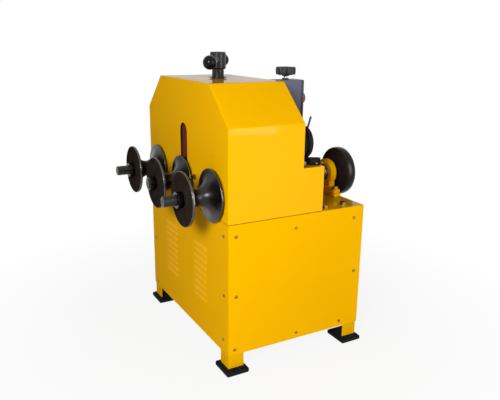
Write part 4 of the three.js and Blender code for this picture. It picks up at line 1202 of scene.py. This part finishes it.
def make_tommy_bar():
    near, far = centre("ball_knob_near"), centre("ball_knob_far")
    direction = bar_direction()
    half = (near - far).length / 2 - 0.0063
    middle = Vector(((near.x + far.x) / 2, (near.y + far.y) / 2, centre("tommy_bar").z))
    profile = [(0, -half), (BAR_RADIUS, -half, 0.001), (BAR_RADIUS, half, 0.001), (0, half)]
    bm = bmesh.new()
    add_lathe(bm, profile, along(middle, direction), 48)
    piece("sliding_bar", bm, "bright", "tommy_bar", "tommy", 30, False)
    reach = direction * BALL_SPACING / 2
    make_ball("near", middle + reach, direction)
    make_ball("far", middle - reach, -direction)


make_press_screw()
make_screw_head()
make_tommy_bar()


# Control box with its selector and stop button
def make_control_box():
    bm = bmesh.new()
    add_box(bm, *ends("control_box"))
    round_edges(bm, 0.0028, 4)
    piece("control_housing", bm, "grey", "control_box")


def make_control_lid():
    first, last = ends("control_box_cover")
    stop = centre("emergency_stop")
    bm = bmesh.new()
    outline = filleted(rectangle(first.x, last.x, first.z, last.z), 0.006, 5)
    add_sheet(bm, outline, first.y, last.y - first.y, [circle(0.0116, 40, stop.x, stop.z)])
    round_edges(bm, 0.0010, 3, 50)
    piece("control_lid", bm, "grey", "control_box_cover")
    ring = [(0.0118, 0), (0.029, 0), (0.029, 0.0007), (0.0118, 0.0007)]
    bm = bmesh.new()
    add_lathe(bm, ring, to_rear(stop.x, last.y, stop.z), 72, 2, 0.0002)
    piece("stop_disc", bm, "disc")
    inset = 0.012
    corners = [(x, z) for x in (first.x + inset, last.x - inset) for z in (first.z + inset, last.z - inset)]
    spots = [((x, last.y, z), (0, 1, 0), 900 * x) for x, z in corners]
    fasteners("lid_screws", SMALL_SCREW, spots, "zinc")


def make_stop_button():
    first, last = ends("emergency_stop")
    middle = centre("emergency_stop")
    reach = last.y - first.y
    profile = [
        (0, 0), (0.011, 0, 0.0003), (0.011, reach - 0.0167, 0.001), (0.0195, reach - 0.0162, 0.0015),
        (0.020, reach - 0.012, 0.003), (0.0185, reach - 0.004, 0.004), (0.011, reach, 0.006), (0, reach),
    ]
    bm = bmesh.new()
    add_lathe(bm, profile, to_rear(middle.x, first.y, middle.z), 72, 5)
    piece("mushroom_button", bm, "red", "emergency_stop", "stop_button", 35, False)


def make_selector_knob():
    """A star knob with five lobes, built up from scaled outlines."""
    foot = low("selector_knob").z
    middle = centre("selector_stem")
    steps = 144
    outline = []
    for i in range(steps):
        angle = 2 * math.pi * i / steps
        radius = 0.033 - 0.008 * ((1 - math.cos(5 * angle)) / 2) ** 1.4
        outline.append((radius * math.cos(angle), radius * math.sin(angle)))
    levels = [
        (0.78, 0.0000), (0.90, 0.0004), (0.96, 0.0018), (0.985, 0.0045), (1.0, 0.009), (1.0, 0.0185),
        (0.985, 0.0215), (0.95, 0.0236), (0.90, 0.0246), (0.84, 0.0250), (0.62, 0.0250), (0.58, 0.0242),
        (0.50, 0.0240),
    ]
    bm = bmesh.new()
    rings = []
    for scale, height in levels:
        ring = [(middle.x + x * scale, middle.y + y * scale, foot + height) for x, y in outline]
        rings.append([bm.verts.new(point) for point in ring])
    for lower, upper in zip(rings, rings[1:]):
        for i in range(steps):
            j = (i + 1) % steps
            bm.faces.new((lower[i], lower[j], upper[j], upper[i]))
    bm.faces.new(list(reversed(rings[0])))
    bm.faces.new(rings[-1])
    hub = [(0.0063, -0.004), (0.0105, -0.004), (0.0125, 0.0005), (0.0063, 0.0005)]
    add_lathe(bm, hub, upward(middle.x, middle.y, foot), 48, 3, 0.0008)
    piece("star_knob", bm, "knob", "selector_knob", "selector", 35)


def make_selector_rod():
    first, last = ends("selector_stem")
    middle = centre("selector_stem")
    length = last.z - first.z
    stem = [(0, 0), (0.006, 0, 0.0008), (0.006, length, 0.0008), (0, length)]
    bm = bmesh.new()
    add_lathe(bm, stem, upward(middle.x, middle.y, first.z), 40)
    piece("selector_rod", bm, "bright", "selector_stem", "selector", 30, False)
    bush = [(0.0064, 0), (0.012, 0, 0.0005), (0.0105, 0.004, 0.001), (0.0064, 0.004)]
    bm = bmesh.new()
    add_lathe(bm, bush, upward(middle.x, middle.y, high("control_box").z), 48)
    piece("selector_bush", bm, "oxide")


def make_gland():
    middle = centre("cable_gland")
    matrix = along((low("cable_gland").x, middle.y, middle.z), (1, 0, 0))
    bore = CABLE / 2 + GAP
    bm = bmesh.new()
    add_plate(bm, hexagon(0.0225), matrix, 0.0052, [circle(bore, 36)])
    round_edges(bm, 0.0006, 2, 45)
    profile = [(bore, 0.0052), (0.0108, 0.0052), (0.0108, 0.0080), (0.0095, 0.0104)]
    profile += ribs(7, 0.0108, 0.0032, 0.0086, -0.0005, 0.0013, (0.0017, 0.0020, 0.0029))
    profile += [(bore + 0.0006, 0.0335), (bore, 0.0335)]
    add_lathe(bm, profile, matrix, 40)
    piece("gland_with_relief", bm, "black_plastic", "cable_gland", smooth=35)


def make_hook():
    """A plate on the hood's rear wall and a rod under the coil's top, its tip turned up and back."""
    thick = 0.003
    rod = 0.003
    bend_radius = 0.010
    wall = HOOD_DEPTH + FRONT
    rod_z = COIL_Z + COIL_RADIUS - COIL_PITCH * COIL_TURNS / COIL_LAYERS - CABLE / 2 - GAP - rod
    bm = bmesh.new()
    plate = rectangle(COIL_X - 0.015, COIL_X + 0.015, rod_z - 0.018, rod_z + 0.018)
    add_sheet(bm, filleted(plate, 0.003), wall + GAP, thick)
    round_edges(bm, 0.0006, 2, 50)
    bend = Vector((COIL_X, high("cable_hook").y - 0.016, rod_z + bend_radius))
    line = [Vector((COIL_X, wall + 0.0015, rod_z))]
    for i in range(8):
        angle = math.radians(10 * i)
        line.append(bend + bend_radius * Vector((0, math.sin(angle), -math.cos(angle))))
    line.append(line[-1] + Vector((0, 0.0120, 0.0380)))
    take_in(bm, worked_out(line_object("rod", line, 2 * rod)))
    piece("coil_hook", bm, "oxide", "cable_hook", smooth=40)
    screws = [(COIL_X + side * 0.009, wall + GAP + thick, rod_z + 0.011) for side in (-1, 1)]
    fasteners("hook_screws", SMALL_SCREW, [(spot, (0, 1, 0), 30) for spot in screws], "zinc")


make_control_box()
make_control_lid()
make_stop_button()
make_selector_knob()
make_selector_rod()
make_gland()
make_hook()


# Drive shaft, rear wheel and pillow block
BEARING_WIDTH = 0.023
BEARING_FRONT = high("pillow_block").y - BEARING_WIDTH
BEARING_FOOT = 0.012


def both_ways(side, width, between=()):
    """A profile and its mirror image across the middle of a width."""
    back = [(radius, width - across, *fillet) for radius, across, *fillet in reversed(side)]
    return [*side, *between, *back]


def make_drive_shaft():
    first, last = ends("drive_shaft")
    length = last.y - first.y
    profile = [
        (0, 0), (SHAFT_RADIUS, 0, 0.001), (SHAFT_RADIUS, length, 0.002), (0.004, length, 0.0004),
        (0.0016, length - 0.0035), (0, length - 0.005),
    ]
    bm = bmesh.new()
    add_lathe(bm, profile, to_rear(DRIVE_X, first.y))
    piece("through_shaft", bm, "bright", "drive_shaft", "drive", 30, False)


def make_rear_wheel():
    first, last = ends("rear_wheel")
    width = last.y - first.y
    edge = WHEEL_RADIUS - WHEEL_CROWN
    side = [
        (SHAFT_RADIUS + GAP, 0, 0.0005), (WHEEL_HUB, 0, 0.001), (WHEEL_HUB, WHEEL_RECESS, 0.002),
        (WHEEL_RIM_INNER, WHEEL_RECESS, 0.002), (WHEEL_RIM_INNER, 0, 0.001),
        (edge - 0.003, 0, 0.001), (edge, 0.003, 0.002),
    ]
    profile = both_ways(side, width, [(WHEEL_RADIUS, width / 2, 0.05)])
    bm = bmesh.new()
    faces = add_lathe(bm, profile, to_rear(DRIVE_X, first.y), 160, 5)
    give_look(faces, DRIVE_X, edge - 0.0015, 1)
    piece("rear_wheel_disc", bm, "black_steel tread", "rear_wheel", "drive", 30, False)


def make_rear_nut():
    first, last = ends("rear_nut")
    hole = circle(SHAFT_RADIUS + GAP)
    bm = bmesh.new()
    add_plate(bm, hexagon(0.0433), to_rear(DRIVE_X, first.y), last.y - first.y, [hole])
    round_edges(bm, 0.0012, 3, 45)
    piece("hexagon_nut", bm, "oxide", "rear_nut", "drive", 40)


def make_bearing_spacer():
    bm = bmesh.new()
    add_box(bm, *ends("spacer_bar"))
    round_edges(bm, 0.0012)
    piece("bearing_spacer", bm, "frame_yellow", "spacer_bar")


def make_bearing_housing():
    """A round housing on a foot, joined by a web."""
    first, last = ends("pillow_block")
    bar_front, bar_back = low("spacer_bar").y, high("spacer_bar").y
    side = [(0.0262, 0.0015), (0.031, 0, 0.001), (0.041, 0, 0.002), (0.044, 0.005, 0.004)]
    bm = bmesh.new()
    add_lathe(bm, both_ways(side, BEARING_WIDTH), to_rear(DRIVE_X, BEARING_FRONT), 96, 4)
    outline = filleted(rectangle(first.x, last.x, bar_front, bar_back), 0.007, 6)
    foot = add_slab(bm, outline, first.z, first.z + BEARING_FOOT)
    round_edges(bm, 0.0018, 3, 50, foot)
    web_foot = first.z + 0.006
    slope = [(-0.034, 0), (0.034, 0), (0.033, 0.022), (-0.033, 0.022)]
    web = bmesh.new()
    outline = [(DRIVE_X + x, web_foot + z) for x, z in slope]
    add_sheet(web, outline, BEARING_FRONT + 0.001, BEARING_WIDTH - 0.002)
    hole = through_cut(circle(0.030, 64, DRIVE_X, AXIS), BEARING_FRONT, 0.03)
    take_in(bm, carved(web, [hole]))
    piece("bearing_housing", bm, "frame_yellow", "pillow_block")


def make_bearing_insert():
    bore = SHAFT_RADIUS + GAP
    side = [
        (bore, -0.004), (0.0195, -0.004, 0.0006), (0.0195, 0.0022),
        (0.0205, 0.0030), (0.0255, 0.0030), (0.0258, 0.0020),
    ]
    bm = bmesh.new()
    faces = add_lathe(bm, both_ways(side, BEARING_WIDTH), to_rear(DRIVE_X, BEARING_FRONT), 72, 2)
    give_look(faces, DRIVE_X, 0.0203, 1)
    piece("bearing_insert", bm, "bright black_plastic", smooth=30, weighted=False)


def make_bearing_bolts():
    y = centre("spacer_bar").y
    z = low("pillow_block").z + BEARING_FOOT
    spots = [((DRIVE_X + side * 0.070, y, z), (0, 0, 1), 15 * side) for side in (-1, 1)]
    fasteners("bearing_bolts", HEX_M12, spots)


make_drive_shaft()
make_rear_wheel()
make_rear_nut()
make_bearing_spacer()
make_bearing_housing()
make_bearing_insert()
make_bearing_bolts()


# Pieces inside keep their CAD form and get their finish
INNER_LOOKS = {
    "primer": "head_front_plate head_rear_plate top_bridge press_carriage motor_shelf",
    "bright": "guide_left guide_right",
    "bronze": "screw_nut",
    "iron": "bearing_cartridge_left bearing_cartridge_right left_gear right_gear drive_gear"
            " idler_gear_centre idler_gear_left worm_gearbox",
    "oxide": "drive_sprocket output_sprocket drive_chain",
    "blue": "motor",
}


def finish_inner_pieces():
    for look, names in INNER_LOOKS.items():
        for name in names.split():
            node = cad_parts[name]
            for slot in node.material_slots:
                slot.material = LOOKS[look]
            edge = node.modifiers.new("edges", "BEVEL")
            edge.width = 0.0006
            edge.segments = 2
            edge.limit_method = "ANGLE"
            edge.angle_limit = math.radians(40)


finish_inner_pieces()


# Floor, backdrop and light
WORLD_LIGHT = 0.06
FLOOR_SIZE = 14.0
FLOOR_WHITE = 0.90


def white_when_seen(tree, lit, output, share=None):
    """Lets a surface or world show as white to the camera, in gloss and through glass."""
    path = tree.node("LightPath").outputs
    seen = tree.maths("MAXIMUM", path["Is Camera Ray"], path["Is Glossy Ray"])
    seen = tree.maths("MAXIMUM", seen, path["Is Transmission Ray"])
    if share:
        seen = tree.maths("MULTIPLY", seen, share)
    kind = "Background" if lit.type == "BACKGROUND" else "Emission"
    glow = tree.node(kind, Color=(1, 1, 1, 1), Strength=1.0)
    mix = tree.node("MixShader")
    tree.link(seen, mix.inputs["Fac"])
    tree.link(lit.outputs[0], mix.inputs[1])
    tree.link(glow.outputs[0], mix.inputs[2])
    tree.link(mix.outputs[0], tree.nodes[output].inputs["Surface"])


def make_world():
    world = bpy.data.worlds.new("studio")
    tree = Tree(world)
    background = tree.nodes["Background"]
    background.inputs["Color"].default_value = (1.0, 0.99, 0.98, 1)
    background.inputs["Strength"].default_value = WORLD_LIGHT
    white_when_seen(tree, background, "World Output")
    bpy.context.scene.world = world


def make_floor():
    """White paper whose shading fades out with the distance from the machine."""
    paper = Look("white paper", 0.9, Specular_IOR_Level=0.0, Base_Color=(0.6, 0.6, 0.6, 1))
    distance = paper.node("VectorMath", operation="LENGTH")
    paper.link(paper.node("TexCoord").outputs["Object"], distance.inputs[0])
    fade = paper.spread(
        distance.outputs["Value"], FLOOR_WHITE, 1.0, 0.35, 1.25, interpolation_type="SMOOTHSTEP",
    )
    white_when_seen(paper, paper.shader, "Material Output", fade)
    half = FLOOR_SIZE / 2
    mesh = bpy.data.meshes.new("floor")
    mesh.from_pydata([(x, y, 0) for x, y in rectangle(-half, half, -half, half)], [], [(0, 1, 2, 3)])
    mesh.materials.append(paper.material)
    add_object("floor", mesh)


def make_lamp(name, spot, target, width, height, power):
    data = bpy.data.lights.new(name, "AREA")
    data.shape = "RECTANGLE"
    data.size = width
    data.size_y = height
    data.energy = power
    lamp = add_object(name, data)
    lamp.location = spot
    lamp.rotation_mode = "QUATERNION"
    lamp.rotation_quaternion = (Vector(target) - Vector(spot)).to_track_quat("-Z", "Y")


make_world()
make_floor()
make_lamp("softbox_by_camera", (1.75, -1.75, 1.45), (0, 0, 0.5), 0.7, 0.7, 52)
make_lamp("panel_light_right", (2.3, 0.975, 1.115), (0, 0, 1.115), 0.36, 1.57, 12)
make_lamp("strip_light_right", (2.3, 0.66, 1.15), (0, 0, 1.15), 0.06, 2.0, 10)

bpy.context.scene.view_settings.view_transform = "Standard"
